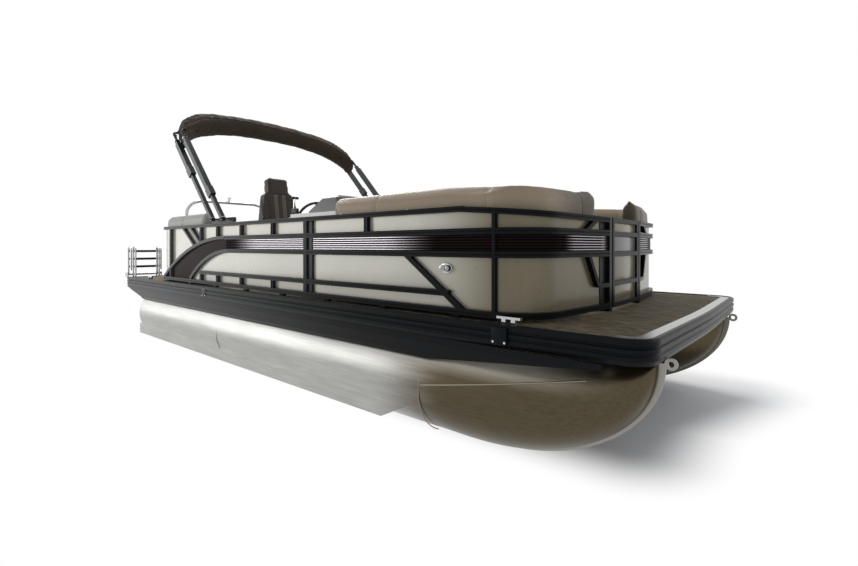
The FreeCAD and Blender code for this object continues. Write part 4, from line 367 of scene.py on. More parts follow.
def louvre_sheet():
    """Ribs with a painted highlight over black slots darkened as painted shade; the highlight fades
    to burgundy towards the bow, comes back on the bow's front, and is absent at the stern.
    """
    bench = Bench("louvre_band")
    x = bench.axis("X")
    step = ((bench.axis("Z") - BAND_LOW) * (RIBS / (BAND_HIGH - BAND_LOW))).math("FRACT")
    rib = (step > 0.33) * (step < 0.70)
    forward = x > ARCH_START
    off_centre = bench.axis("Y").math("ABSOLUTE")
    # front and lit say where the ribs get a painted highlight, bright and metallic: along the side
    # and on the bow's front
    front = (x > 3.15) * (1 - bench.rise(off_centre, 0.72, 0.86)) * 0.8
    lit = bench.rise(x, -0.15, 0.35) * (1 - bench.rise(x, 2.05, 2.55)) + front
    drift = bench.noise(3)
    wine = bench.blend(drift, (0.014, 0.008, 0.007), (0.024, 0.015, 0.014))
    # slot: the grooves darker than the burgundy, painted shade
    slot = bench.blend(drift, (0.004, 0.0025, 0.0025), (0.009, 0.005, 0.005))
    dim = bench.blend(drift, (0.010, 0.006, 0.006), (0.020, 0.012, 0.012))
    ribbed = bench.blend(rib, slot, bench.blend(lit, dim, (0.46, 0.44, 0.46)))
    bench.relief(drift, 0.25, 0.01)
    return bench.finish(
        Base_Color=bench.blend(forward, wine, ribbed), IOR=1.06,
        Metallic=rib * forward * lit * 0.85, Roughness=drift * 0.08 + 0.22)


CHAMPAGNE = champagne_sheet()
LOUVRE = louvre_sheet()
print("fence finishes", CHAMPAGNE.name, LOUVRE.name)


# %% [markdown]
# ## Vinyl, cloth and deck
# Marine upholstery is vinyl with a fine pebble grain and a dull sheen. The sunshade's boot is
# woven acrylic, and the deck is a woven vinyl whose threads run along the boat in several browns.

# %% Soft finishes
def vinyl(name, colour, second=None, stripe=None):
    """Upholstery vinyl; stripe is a function of the bench that says where a second colour shows."""
    bench = Bench(name)
    grain = bench.add("ShaderNodeTexVoronoi", {"Vector": bench.spot(), "Scale": 260.0})
    crease = bench.noise(6, detail=5, rough=0.6)
    drift = bench.noise(1.7)
    tones = [bench.blend(drift, shade(tone, 0.90), shade(tone, 1.08))
             for tone in (colour, second) if tone]
    body = bench.blend(stripe(bench), *tones) if second else tones[0]
    bench.relief(grain * 0.10 + crease * 0.8, 0.5, 0.003)
    return bench.finish(Base_Color=body, Roughness=crease * 0.14 + 0.38, IOR=1.34)


def woven(name, colour):
    """Acrylic cloth: two crossing thread waves, and soft broad creases."""
    bench = Bench(name)
    threads = bench.bands("X", 150.0) + bench.bands("Y", 150.0)
    fade = bench.noise(3, detail=5, rough=0.6)
    bench.relief(threads * 0.05 + fade, 0.5, 0.004)
    return bench.finish(
        Base_Color=bench.blend(fade, shade(colour, 0.72), shade(colour, 1.3)),
        Roughness=0.86, Sheen_Weight=0.05, Sheen_Roughness=0.5, IOR=1.3)


BROWNS = ((0.024, 0.018, 0.011), (0.085, 0.066, 0.041), (0.300, 0.250, 0.180))


def deck_weave():
    """Woven vinyl: long thin threads in dark and light browns over a ribbed ground."""
    bench = Bench("deck_weave")
    thread = bench.noise(11, (1.0, 26, 1), 2, 0.6)
    tone = bench.add("ShaderNodeValToRGB", {0: thread})
    stops = tone.socket.node.color_ramp.elements
    stops.new(0.5)
    for stop, place, brown in zip(stops, (0.38, 0.5, 0.60), BROWNS):
        stop.position = place
        stop.color = (*brown, 1)
    worn = bench.blend(bench.noise(3.5, (1, 3, 1), 4), (0.76, 0.74, 0.70), (1.0, 1.0, 1.0))
    bench.relief(bench.bands("Y", 55.0) * 0.5 + thread, 0.5, 0.0012)
    return bench.finish(
        Base_Color=bench.blend(1.0, tone, worn, "MULTIPLY"), Roughness=0.72, IOR=1.2)


def painted_end_shade(bench):
    """Painted shade: 1 at the inner ends of the bow lounges, beside the gate, where the backs turn
    brown.
    """
    off_centre = bench.axis("Y").math("ABSOLUTE")
    return bench.rise(bench.axis("X"), 2.96, 3.14) * (1 - bench.rise(off_centre, 0.55, 1.05))


DARK_BROWN = (0.028, 0.020, 0.015)
TAN = vinyl("tan_vinyl", (0.265, 0.208, 0.146))
# the backs' inner ends turn dark brown: painted shade
BACK = vinyl("lounge_back_vinyl", (0.272, 0.214, 0.150), (0.068, 0.054, 0.034), painted_end_shade)
BROWN = vinyl("brown_vinyl", DARK_BROWN)
STONE = vinyl("stone_vinyl", (0.335, 0.33, 0.32))
BOOT = woven("boot_cloth", (0.040, 0.028, 0.019))
DECK = deck_weave()
print("materials with the soft finishes:", len(bpy.data.materials))


# %% [markdown]
# ## Lenses and dials
# A lamp's lens and a gauge's face are clear and hard over something mottled, a reflector or a
# dark dial, so one function with a full clear coat serves both.

# %% Lenses and dials
def glassy(name, colours, scale, detail, rough, metal):
    """A clear-coated face, mottled between two colours."""
    bench = Bench(name)
    return bench.finish(
        Base_Color=bench.blend(bench.noise(scale, detail=detail), *colours),
        Roughness=rough, Metallic=metal, Coat_Weight=1.0)


LENS = glassy("lamp_lens", ((0.10, 0.105, 0.11), (0.34, 0.35, 0.36)), 60, 2, 0.06, 0.7)
DIAL = glassy("dial_face", ((0.010, 0.011, 0.012), (0.022, 0.023, 0.025)), 200, 1, 0.12, 0.0)
print("clear faces", LENS.name, DIAL.name)

# %% [markdown]
# ## Finishes on the frame's pieces
# A rigid piece whose shape is right keeps it and only gets its finish.

# %% Finish the rigid pieces
FINISHES = (
    (MILL, ("pontoon_starboard", "pontoon_port")),
    (MEMBER, ("pontoon_brackets", "cross_members", "motor_pod")),
    (DECK, ("deck",)),
    (RUB, ("rub_rail", "side_skirts")),
    (BRIGHT, ("bow_trim",)),
    (CHARCOAL, ("fence_frame_starboard", "fence_frame_port", "bow_gate", "side_gate", "stern_gate",
                "sunshade_brackets")),
    (CHAMPAGNE, ("fence_panel_starboard", "fence_panel_port")),
    (LOUVRE, ("fence_band_starboard", "fence_band_port")),
    (BASE, ("bow_seat_bases", "stern_seat_bases")),
    (CONSOLE, ("helm_console",)),
    (DASH, ("helm_dash",)),
    (BLACK, ("steering_wheel",)),
    (SHADE_TUBE, ("sunshade_aft_legs", "sunshade_fore_legs")),
    (LEG, ("engine_clamp_bracket", "engine_swivel_bracket", "engine_leg", "engine_gearcase")),
    (COWL, ("engine_cowl",)),
    (POLISHED, ("propeller", "chair_pedestal", "tow_arch", "boarding_ladder", "ladder_bracket",
                "cleats")),
)


def wear(thing, material):
    """Give a piece one finish."""
    thing.data.materials.clear()
    thing.data.materials.append(material)


for material, node_names in FINISHES:
    for node_name in node_names:
        wear(nodes[node_name], material)
print("finished", sum(len(names) for _, names in FINISHES), "of", len(nodes), "nodes")


# %% [markdown]
# ## Floor
# The floor is white paper. Near the hull it is lit like everything else and keeps the soft
# shadow; from there it fades to pure white, so that no horizon shows.

# %% Floor
def past(distance, length):
    """How far beyond a line a place lies, in lengths of the fade, and 0 on the near side."""
    return distance.math("MAXIMUM", 0.0) * (1 / length)


bpy.ops.mesh.primitive_circle_add(vertices=96, radius=60, fill_type="NGON", location=(0, 0, 0))
floor = bpy.context.object
floor.name = "floor"
paper = Bench("paper")
paper.finish(Base_Color=paper.blend(paper.noise(40), (0.85, 0.85, 0.86), (0.87, 0.87, 0.88)),
             Roughness=0.9)
x, y = paper.axis("X"), paper.axis("Y")
to_port = y.math("MAXIMUM", 0.0).math("MINIMUM", 1.2)
ahead = past(x - 3.50 - to_port * 0.28, 0.58)
behind = past(-2.75 - x, 0.8)
beside = past(-0.50 - y, 0.68)
away = past(y - 1.3, 0.6)
reach = (ahead * ahead + behind * behind + beside * beside + away * away).math("SQRT")
glow = paper.add("ShaderNodeEmission", {"Color": (1, 1, 1), "Strength": 1.0})
lit_paper = Wire(paper, paper.surface.outputs[0])
faded = paper.add("ShaderNodeMixShader",
                  {0: paper.rise(reach, 0.12, 1.0), 1: lit_paper, 2: glow})
paper.feed(paper.tree.nodes["Material Output"].inputs["Surface"], faded)
wear(floor, paper.owner)
print("floor", floor.name)


# %% [markdown]
# ## Picking, settling and editing
# Blender's tools work on what is picked. Every new piece is picked, given its place in its mesh
# and its finish, and told which body it rides on. Modifiers are applied at once, so that the
# next step works on the real shape.

# %% Picking, settling and editing
def pick(*things):
    """Select some objects and make the first one active."""
    bpy.ops.object.select_all(action="DESELECT")
    for thing in things:
        thing.select_set(True)
    bpy.context.view_layer.objects.active = things[0]


def settle(thing, material, body):
    """Apply a new piece's place, give it its finish and let it ride on a body."""
    pick(thing)
    bpy.ops.object.transform_apply(location=True, rotation=True, scale=True)
    wear(thing, material)
    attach(thing, body)


def modify(thing, kind, **settings):
    """Add a modifier with its settings and apply it."""
    pick(thing)
    made = thing.modifiers.new(kind.lower(), kind)
    for key, value in settings.items():
        setattr(made, key, value)
    bpy.ops.object.modifier_apply(modifier=made.name)


def edit(thing, tool, chosen=None, **settings):
    """Run one mesh tool in edit mode, on the whole piece or on its chosen vertices."""
    pick(thing)
    bpy.ops.object.mode_set(mode="EDIT")
    bpy.ops.mesh.select_all(action="SELECT" if chosen is None else "DESELECT")
    if chosen is not None:
        bpy.ops.object.mode_set(mode="OBJECT")
        thing.data.vertices.foreach_set("select", chosen)
        bpy.ops.object.mode_set(mode="EDIT")
    tool(**settings)
    bpy.ops.object.mode_set(mode="OBJECT")


def smooth(thing, degrees=None):
    """Shade a piece smooth, all over or up to an angle."""
    pick(thing)
    if degrees is None:
        bpy.ops.object.shade_smooth()
    else:
        bpy.ops.object.shade_smooth_by_angle(angle=math.radians(degrees))


def join(name, pieces):
    """Make one piece of several."""
    pick(*pieces)
    bpy.ops.object.join()
    pieces[0].name = name
    return pieces[0]


# %% [markdown]
# ## Boxes, rounds and ropes
# Small hardware is a box with rounded edges, a round with bevelled rims, or a bar or bead that
# follows a path. No real edge is perfectly sharp: a bevel's thin highlight makes a part look made.

# %% Boxes, rounds and ropes
def rounded(name, material, body, edge, segments, degrees):
    """Name and settle the primitive just made, and round its edges."""
    piece = bpy.context.object
    piece.name = name
    settle(piece, material, body)
    modify(piece, "BEVEL", width=edge, segments=segments, limit_method="ANGLE")
    smooth(piece, degrees)
    return piece


def block(name, low, high, edge, material, body="hull", turn=(0, 0, 0)):
    """A box between two corners with rounded edges."""
    middle = [(a + b) / 2 for a, b in zip(low, high)]
    size = [abs(b - a) for a, b in zip(low, high)]
    bpy.ops.mesh.primitive_cube_add(size=1, location=middle, rotation=turn, scale=size)
    return rounded(name, material, body, edge, 2, 35)


def barrel(name, centre, radius, length, axis, material, body="hull", edge=0.002, sides=32):
    """A round piece centred on a point, along an axis, with a small bevel on its rims."""
    turn = Vector(axis).to_track_quat("Z", "Y").to_euler()
    bpy.ops.mesh.primitive_cylinder_add(vertices=sides, radius=radius, depth=length,
                                        location=centre, rotation=turn)
    return rounded(name, material, body, edge, 3, 40)


def rope(name, points, radius, material, body="hull", closed=False, curved=False):
    """A thin round bar or bead through points, made as a path with thickness."""
    bpy.ops.curve.primitive_nurbs_path_add(location=(0, 0, 0))
    piece = bpy.context.object
    piece.name = name
    curve = piece.data
    curve.splines.clear()
    spline = curve.splines.new("NURBS" if curved else "POLY")
    spline.points.add(len(points) - 1)
    for point, place in zip(spline.points, points):
        point.co = (*place, 1)
    spline.use_cyclic_u = closed
    if curved:
        spline.order_u = 3
        spline.use_endpoint_u = not closed
    curve.bevel_depth = radius
    curve.bevel_resolution = 2
    curve.resolution_u = 4
    curve.use_fill_caps = True
    bpy.ops.object.convert(target="MESH")
    settle(piece, material, body)
    smooth(piece)
    return piece


# %% [markdown]
# ## Points, probes and copies
# NumPy moves all the vertices of a piece in one step. A probe ray finds where a surface is, so
# that a bead or a gauge sits on it. A starboard piece is mirrored to port.

# %% Points, probes and copies
def rows_of(items, field):
    """A vector of every item as the rows of an array."""
    flat = np.empty(len(items) * 3)
    items.foreach_get(field, flat)
    return flat.reshape(-1, 3)


def points_of(piece):
    return rows_of(piece.data.vertices, "co")


def normals_of(piece):
    return rows_of(piece.data.vertex_normals, "vector")


def put_points(piece, places):
    """Move a piece's vertices to new places."""
    piece.data.vertices.foreach_set("co", np.ascontiguousarray(places).ravel())
    piece.data.update()


def touch(thing, start, way):
    """Where a probe from a point along a way first meets a piece, or None."""
    bpy.context.view_layer.update()
    hit, place, _, _ = thing.ray_cast(Vector(start), Vector(way).normalized())
    return place if hit else None


def duplicate(thing, name):
    """A new object with its own copy of a piece's mesh."""
    twin = bpy.data.objects.new(name, thing.data.copy())
    bpy.context.scene.collection.objects.link(twin)
    return twin


def port_copy(thing, name):
    """The same piece on the port side, mirrored in its mesh with its faces turned outwards."""
    twin = duplicate(thing, name)
    put_points(twin, points_of(twin) * (1, -1, 1))
    twin.data.flip_normals()
    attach(twin, "hull")
    return twin


SIDES = ((-1, "starboard"), (1, "port"))

# %% [markdown]
# ## Tube welds and spray strips
# Each tube is rolled in lengths, and a raised weld bead shows where two meet. A spray strip is
# welded along the outside of each nose: a probe finds the surface, and a bead follows it.

# %% Tube welds and spray strips
WELDS = ((-0.292, MEMBER), (2.48, NOSE_BEAD))
STRIP_STEPS = 12
for side, label in SIDES:
    for count, (x, material) in enumerate(WELDS):
        ring = []
        for degrees in np.linspace(-68, 68, 25):
            angle = math.radians(degrees)
            outward = Vector((0, side * math.cos(angle), math.sin(angle)))
            ring.append(Vector((x, side * TUBE_Y, TUBE_Z)) + outward * (TUBE_RADIUS + 0.001))
        rope(f"tube_weld_{label}_{count}", ring, 0.0035, material)
    strip = []
    for step in range(STRIP_STEPS + 1):
        share = step / STRIP_STEPS
        beside = (2.50 + 1.0 * share, side * 3.0, 0.362 + 0.186 * share)
        place = touch(nodes["pontoon_" + label], beside, (0, -side, 0))
        if place is not None:
            strip.append(place + Vector((0, side * 0.001, 0)))
    rope("spray_strip_" + label, strip, 0.0055, NOSE_BEAD)
    print(label, "tube:", len(WELDS), "welds and a strip through", len(strip), "points")

# %% [markdown]
# ## Rub rail joints
# The rub rail comes in lengths. A thin cover bridges each joint and is held by two bolts below.

# %% Rub rail joints
BOLT_Z = 0.706
covers = []
for count, (aft, fore) in enumerate(((3.02, 3.115), (-0.62, -0.53))):
    covers.append(block(f"rub_joint_{count}", (aft, -1.2965, 0.690), (fore, -1.280, 0.786),
                        0.002, RUB))
    for bolt, x in enumerate((aft + 0.012, fore - 0.010)):
        covers.append(barrel(f"rub_bolt_{count}_{bolt}", (x, -1.2975, BOLT_Z), 0.0065, 0.004,
                             (0, 1, 0), BRUSHED, edge=0.001, sides=12))
starboard_covers = join("rub_joints_starboard", covers)
port_copy(starboard_covers, "rub_joints_port")
print("rub rail joints on both sides")


# %% [markdown]
# ## Uprights and reveals
# The uprights are channels whose webs are the same champagne sheet, so a pale line shows between
# two dark ones. A black reveal closes the sheet beside the middle post; beside each gate post
# thin black plates are painted shade for the shaded end of the fence.

# %% Webs in the uprights
SHEET_EDGE = 0.0004
SHEET_FOOT, SHEET_TOP = 0.850, 1.436
ARCH_CREST, ARCH_RADIUS = 1.334, 3.05
WEB_FACE, WEB_BACK, WEB_HALF = 1.2045, 1.203, 0.0078


def arch_top(x):
    """The height of the outer arch's top over a place on the side."""
    aft = min(0.0, x - ARCH_START)
    return ARCH_CREST - (ARCH_RADIUS - math.sqrt(ARCH_RADIUS ** 2 - aft ** 2))


def web(name, side, x, low, high=SHEET_TOP):
    """A strip of sheet in the channel of one upright."""
    return block(name, (x - WEB_HALF, side * WEB_FACE, low), (x + WEB_HALF, side * WEB_BACK, high),
                 SHEET_EDGE, CHAMPAGNE)


webs = []
for count, x in enumerate((1.895, 0.63, 0.055, -0.45, -0.85)):
    webs.append(web(f"web_high_{count}", -1, x, arch_top(x) - 0.002))
    if count:
        webs.append(web(f"web_low_{count}", -1, x, SHEET_FOOT, 0.920))
webs.append(web("web_stern", -1, -1.70, SHEET_FOOT))
print("webs to starboard", len(webs))
join("upright_webs_starboard", webs)
join("upright_webs_port", [web(f"web_port_{count}", 1, x, arch_top(x) - 0.002)
                           for count, x in enumerate((1.895, 0.055, -0.45, -0.85, -1.70))])

# %% Reveals beside the posts
POST_Y = 0.372
BOW_SLOPE = 0.119
post_x = 3.2948 - BOW_SLOPE * (POST_Y - 0.3325)
reveal = block("mid_reveal_starboard", (1.166, -1.2015, SHEET_FOOT), (1.230, -1.1835, 1.437),
               0.0006, BLACK)
port_copy(reveal, "mid_reveal_port")
# black plates beside each gate post: painted shade for the shaded side of the fence's end
for side, label in SIDES:
    for count, (low, high, depth) in enumerate(
            ((0.850, 1.160, 0.003), (1.196, 1.297, 0.012), (1.333, 1.40, 0.003))):
        block(f"post_shade_plate_{label}_{count}",
              (post_x - 0.003, side * POST_Y - 0.036, low),
              (post_x + depth, side * POST_Y + 0.036, high),
              0.0005, BLACK, turn=(0, 0, side * math.atan(BOW_SLOPE)))
print("gate post reveals at x", round(post_x, 4))


# %% [markdown]
# ## Gate sheets
# Each gate is a welded frame with sheets let in between its bars: champagne above and below, and
# grey in the band's row. A probe finds the gate's inner face, and a second sheet lies on it.

# %% Gate sheets
ROWS = ((0.8435, 0.9565, CHAMPAGNE), (0.9875, 1.1585, CHAMPAGNE), (1.1895, 1.2955, GREY))
TOP_ROW = 1.3265


def gate_sheets(gate, inward, top, start, end):
    """Thin sheets in a gate's rows, outside and inside, between two places in plan."""
    inward = Vector(inward)
    for count, (low, high, material) in enumerate((*ROWS, (TOP_ROW, top, CHAMPAGNE))):
        near, far = Vector((*start, low)), Vector((*end, high))
        block(f"{gate}_sheet_{count}", near, far, SHEET_EDGE, material, gate + "_leaf")
        middle = (near + far) / 2
        back = touch(nodes[gate], middle + inward * 0.1, -inward)
        if back is not None:
            shift = back - middle
            block(f"{gate}_inner_{count}", near + shift, far + shift, SHEET_EDGE, material,
                  gate + "_leaf")
            print(gate, "row", count, "inner face at", round(shift.dot(inward), 4))


gate_sheets("bow_gate", (-1, 0, 0), 1.3885, (3.3105, -0.237), (3.3125, 0.247))
gate_sheets("side_gate", (0, -1, 0), 1.4385, (0.490, 1.2005), (1.039, 1.2025))
gate_sheets("stern_gate", (1, 0, 0), 1.4385, (-2.0575, -0.580), (-2.0555, -0.031))
block("bow_gate_reveal", (3.3120, 0.196, 1.1895), (3.3135, 0.246, 1.2955), SHEET_EDGE, BLACK,
      "bow_gate_leaf")

# %% [markdown]
# ## Gate latches
# A polished plate with a round bolt through it closes each gate, at the height of the band.

# %% Gate latches
LATCH_LOW, LATCH_HIGH = 1.222, 1.262
LATCHES = (
    ("bow_gate", (3.272, 0.236), (3.2975, 0.268), (1, 0, 0)),
    ("side_gate", (0.466, 1.172), (0.494, 1.1875), (0, 1, 0)),
    ("stern_gate", (-2.0425, -0.604), (-2.027, -0.572), (1, 0, 0)),
)
for gate, start, end, way in LATCHES:
    low, high = (*start, LATCH_LOW), (*end, LATCH_HIGH)
    plate = block(gate + "_latch_plate", low, high, 0.003, POLISHED, gate + "_leaf")
    middle = [(a + b) / 2 for a, b in zip(low, high)]
    knob = barrel(gate + "_latch_knob", middle, 0.008, 0.045, way, POLISHED, gate + "_leaf",
                  sides=20)
    join(gate + "_latch", [plate, knob])
print("latches", len(LATCHES))

# %% [markdown]
# ## Docking lamps
# A lamp in each bow panel is a chromed oval bezel with two hooded lenses. It stands for the
# plain disc of the frame.

# %% Docking lamps
LAMP_X, LAMP_Z = 2.618, 1.090
OVAL = 1.45
ACROSS = (0, 1, 0)
bezel = barrel("bezel", (LAMP_X, -1.187, LAMP_Z), 0.034, 0.016, ACROSS, POLISHED, edge=0.004,
               sides=40)
places = points_of(bezel)
places[:, 0] = LAMP_X + (places[:, 0] - LAMP_X) * OVAL
put_points(bezel, places)
parts = [bezel]
for count, (x, hood) in enumerate(((2.598, POLISHED), (2.643, BLACK))):
    parts.append(barrel(f"lamp_hood_{count}", (x, -1.199, LAMP_Z), 0.0205, 0.022, ACROSS, hood,
                        edge=0.003, sides=28))
    parts.append(barrel(f"lamp_lens_{count}", (x, -1.2105, LAMP_Z), 0.0155, 0.004, ACROSS, LENS,
                        edge=0.001, sides=28))
lamp = join("docking_lamp_starboard", parts)
twin = port_copy(lamp, "docking_lamp_port")
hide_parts("docking_lights")
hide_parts("docking_lights")
print("docking lamps of", len(parts), "parts each")


# %% [markdown]
# ## Stuffed vinyl
# A real cushion is foam in a sewn cover, so it swells between its seams. The plain solid is
# copied, drawn in, remeshed into even faces and blown up as cloth with pressure. No vertex may
# move further than the swell, so the cushion keeps its place and size.

# %% Stuffing
DRAW_IN = 1.35
CLOTH_FRAMES = 14
CLOTH_PRESSURE = 4.0


def solid_copy(node_name, name):
    """A copy of a frame node's mesh, as a new object with closed faces."""
    piece = duplicate(nodes[node_name], name)
    edit(piece, bpy.ops.mesh.remove_doubles, threshold=0.0001)
    return piece


def inflate(piece, swell):
    """Blow a shape up as cloth, and hold every vertex within the swell of where it was."""
    start = points_of(piece)
    cloth = piece.modifiers.new("cloth", "CLOTH")
    cloth.settings.use_pressure = True
    cloth.settings.uniform_pressure_force = CLOTH_PRESSURE
    cloth.settings.effector_weights.gravity = 0
    cloth.settings.quality = 3
    cloth.point_cache.frame_start = 1
    cloth.point_cache.frame_end = CLOTH_FRAMES
    for step in range(1, CLOTH_FRAMES + 1):
        bpy.context.scene.frame_set(step)
    pick(piece)
    bpy.ops.object.modifier_apply(modifier="cloth")
    bpy.context.scene.frame_set(1)
    moved = points_of(piece) - start
    length = np.linalg.norm(moved, axis=1, keepdims=True)
    put_points(piece, start + moved * np.minimum(1, swell / np.maximum(length, 1e-9)))


def stuff(piece, voxel, swell, calm):
    """Draw a solid in, remesh and calm it, and blow it up as vinyl over foam."""
    put_points(piece, points_of(piece) - normals_of(piece) * swell * DRAW_IN)
    modify(piece, "REMESH", mode="VOXEL", voxel_size=voxel)
    modify(piece, "SMOOTH", factor=0.5, iterations=calm)
    inflate(piece, swell)
    modify(piece, "SMOOTH", factor=0.5, iterations=2)


# %% [markdown]
# ## Seams and welts
# A cover pulls in along its seams, and a thin welt is sewn into each. A seam is a plane here: the
# cover is pushed in near it, a copy is cut by it, and the cut edge becomes the path of the welt.
# A rule can keep a seam to one part of the cover.

# %% Seams and welts
SEAM_WIDTH = 0.022


def seam(letter, place, *rule):
    """A seam plane square to an axis at a place, with an optional rule for where it runs."""
    normal = tuple(float(letter == other) for other in "XYZ")
    return (tuple(place * part for part in normal), normal, *rule)


def sew(piece, seams, depth):
    """Pull the cover in along its seams."""
    places = points_of(piece)
    pull = np.zeros(len(places))
    for point, normal, *rule in seams:
        away = (places - np.array(point)) @ np.array(normal)
        near = np.exp(-(away / SEAM_WIDTH) ** 2)
        pull = np.maximum(pull, near * rule[0](places) if rule else near)
    put_points(piece, places - normals_of(piece) * (pull * depth)[:, None])


def welt(piece, name, plane, radius, material, body):
    """A piping bead where a seam plane cuts the surface."""
    point, normal, *rule = plane
    edge = duplicate(piece, name)
    edit(edge, bpy.ops.mesh.bisect, plane_co=point, plane_no=normal, clear_inner=True,
         clear_outer=True)
    if rule:
        unwanted = rule[0](points_of(edge)) <= 0.5
        edit(edge, bpy.ops.mesh.delete, unwanted, type="VERT")
    if not edge.data.vertices:
        bpy.data.objects.remove(edge)
        return
    bpy.ops.object.convert(target="CURVE")
    edge.data.bevel_depth = radius
    edge.data.bevel_resolution = 1
    edge.data.use_fill_caps = True
    bpy.ops.object.convert(target="MESH")
    wear(edge, material)
    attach(edge, body)
    smooth(edge)


def upholster(node_name, name, material, voxel, swell, seams, body="hull", bead=0.0028,
              bead_finish=None, shape=None, calm=3, depth=0.006):
    """The whole treatment for one plain cushion solid."""
    piece = solid_copy(node_name, name)
    stuff(piece, voxel, swell, calm)
    if shape:
        put_points(piece, shape(points_of(piece)))
    sew(piece, seams, depth)
    wear(piece, material)
    smooth(piece)
    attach(piece, body)
    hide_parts(node_name)
    for count, plane in enumerate(seams):
        welt(piece, f"{name}_welt_{count}", plane, bead, bead_finish or material, body)
    print(name, len(piece.data.polygons), "faces,", len(seams), "seams")


# %% [markdown]
# ## Bow lounges
# Each bow lounge has one long back that follows the fence round the corner, smooth over a thick
# rounded top, with a seam near its foot and upright seams where two panels meet. The top dips
# towards the bow. The seats lift as lids, so each rides on its own body.

# %% Bow lounge backs
BACK_SEAM = 0.055
BOW_PANEL = 0.60


def slope(value, start, end):
    """The same smooth rise as in the shaders, for arrays."""
    share = np.clip((value - start) / (end - start), 0, 1)
    return share * share * (3 - 2 * share)


def bow_dip(places):
    """Lower the top towards the bow and draw the inner ends together a little."""
    x, y, z = places.T
    moved = places.copy()
    moved[:, 2] -= 0.026 * slope(x, 2.5, 3.1) * slope(z, 1.30, 1.58)
    end = (1 - slope(np.abs(y), 0.46, 0.75)) * slope(x, 3.0, 3.12)
    moved[:, 1] -= np.sign(y) * 0.055 * end
    return moved


def bow_part(side):
    """A rule for a seam in the part of a back that crosses the bow on one side."""
    return lambda places: ((places[:, 0] > 2.95) & (places[:, 1] * side > 0)).astype(float)


low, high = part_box("bow_backrests")
upholster("bow_backrests", "bow_lounge_backs", BACK, 0.014, 0.012,
          [seam("Z", low[2] + BACK_SEAM), seam("X", 1.95), seam("X", 2.90),
           seam("Y", -BOW_PANEL, bow_part(-1)), seam("Y", BOW_PANEL, bow_part(1))],
          bead=0.0016, shape=bow_dip, calm=12, depth=0.0028)


# %% Bow lounge seats
def seat_seams(low, high):
    """The seams round a seat cushion: one below its top and one above its foot."""
    return [seam("Z", high[2] - 0.020), seam("Z", low[2] + 0.016)]


for _, label in SIDES:
    node_name = "bow_seat_cushion_" + label
    low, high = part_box(node_name)
    upholster(node_name, "bow_lounge_seat_" + label, TAN, 0.013, 0.010,
              seat_seams(low, high) + [seam("X", (low[0] + high[0]) / 2)], "bow_lid_" + label)

# %% [markdown]
# ## Stern lounges
# The stern seats are plain tan cushions. The port lounge's back is brown, with one seam more near
# its top. The corner seat's back is pale stone vinyl and rounder, so it is calmed for longer.

# %% Stern lounge upholstery
for node_name, name, body in (("port_lounge_cushion", "port_lounge_seat", "lounge_lid"),
                              ("stern_lounge_cushion", "stern_lounge_seat", "hull"),
                              ("corner_seat_cushion", "corner_lounge_seat", "corner_lid")):
    upholster(node_name, name, TAN, 0.014, 0.010, seat_seams(*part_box(node_name)), body)
for node_name, name, material, calm in (("port_lounge_backrest", "port_lounge_back", BROWN, 3),
                                        ("corner_seat_backrest", "corner_lounge_back", STONE, 14)):
    low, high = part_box(node_name)
    seams = [seam("Z", low[2] + BACK_SEAM), seam("X", (low[0] + high[0]) / 2)]
    if material is BROWN:
        seams.append(seam("Z", high[2] - 0.085))
    upholster(node_name, name, material, 0.015, 0.012, seams, calm=calm, bead=0.0022, depth=0.004)


# %% [markdown]
# ## Helm chair
# The chair is dark brown with two tan stripes down its back. The upright seams beside the stripes
# and at the bolsters stop at the neck, where one seam runs across.

# %% Helm chair
STRIPE_IN, STRIPE_OUT, BOLSTER = 0.022, 0.078, 0.145
low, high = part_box("chair_backrest")
mid_y = (low[1] + high[1]) / 2
neck = low[2] + 0.488


def chair_stripes(bench):
    """Two upright stripes below the neck, measured across the boat from the chair's middle."""
    away = (bench.axis("Y") - mid_y).math("ABSOLUTE")
    return (away > STRIPE_IN) * (away < STRIPE_OUT) * (bench.axis("Z") < neck)


def below_neck(places):
    return (places[:, 2] < neck).astype(float)


def between_arms(places):
    return (np.abs(places[:, 1] - mid_y) < 0.27).astype(float)


CHAIR = vinyl("chair_vinyl", DARK_BROWN, (0.115, 0.094, 0.072), chair_stripes)
offsets = (-BOLSTER, -STRIPE_OUT, -STRIPE_IN, STRIPE_IN, STRIPE_OUT, BOLSTER)
upholster("chair_backrest", "chair_back", CHAIR, 0.0095, 0.010,
          [seam("Z", neck)] + [seam("Y", mid_y + offset, below_neck) for offset in offsets],
          "chair", 0.0022, BROWN, depth=0.007)
low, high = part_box("chair_seat")
upholster("chair_seat", "chair_squab", BROWN, 0.012, 0.010,
          [seam("Z", low[2] + 0.100, between_arms)], "chair")

# %% [markdown]
# ## Sunshade boot
# The folded canopy lies in a zipped cloth boot. Loose cloth wrinkles, most of all where it gathers
# at the ends, so the surface is pushed in and out by slow waves and folds. The flat ends are cut
# back first, to leave room for the bows' tubes.

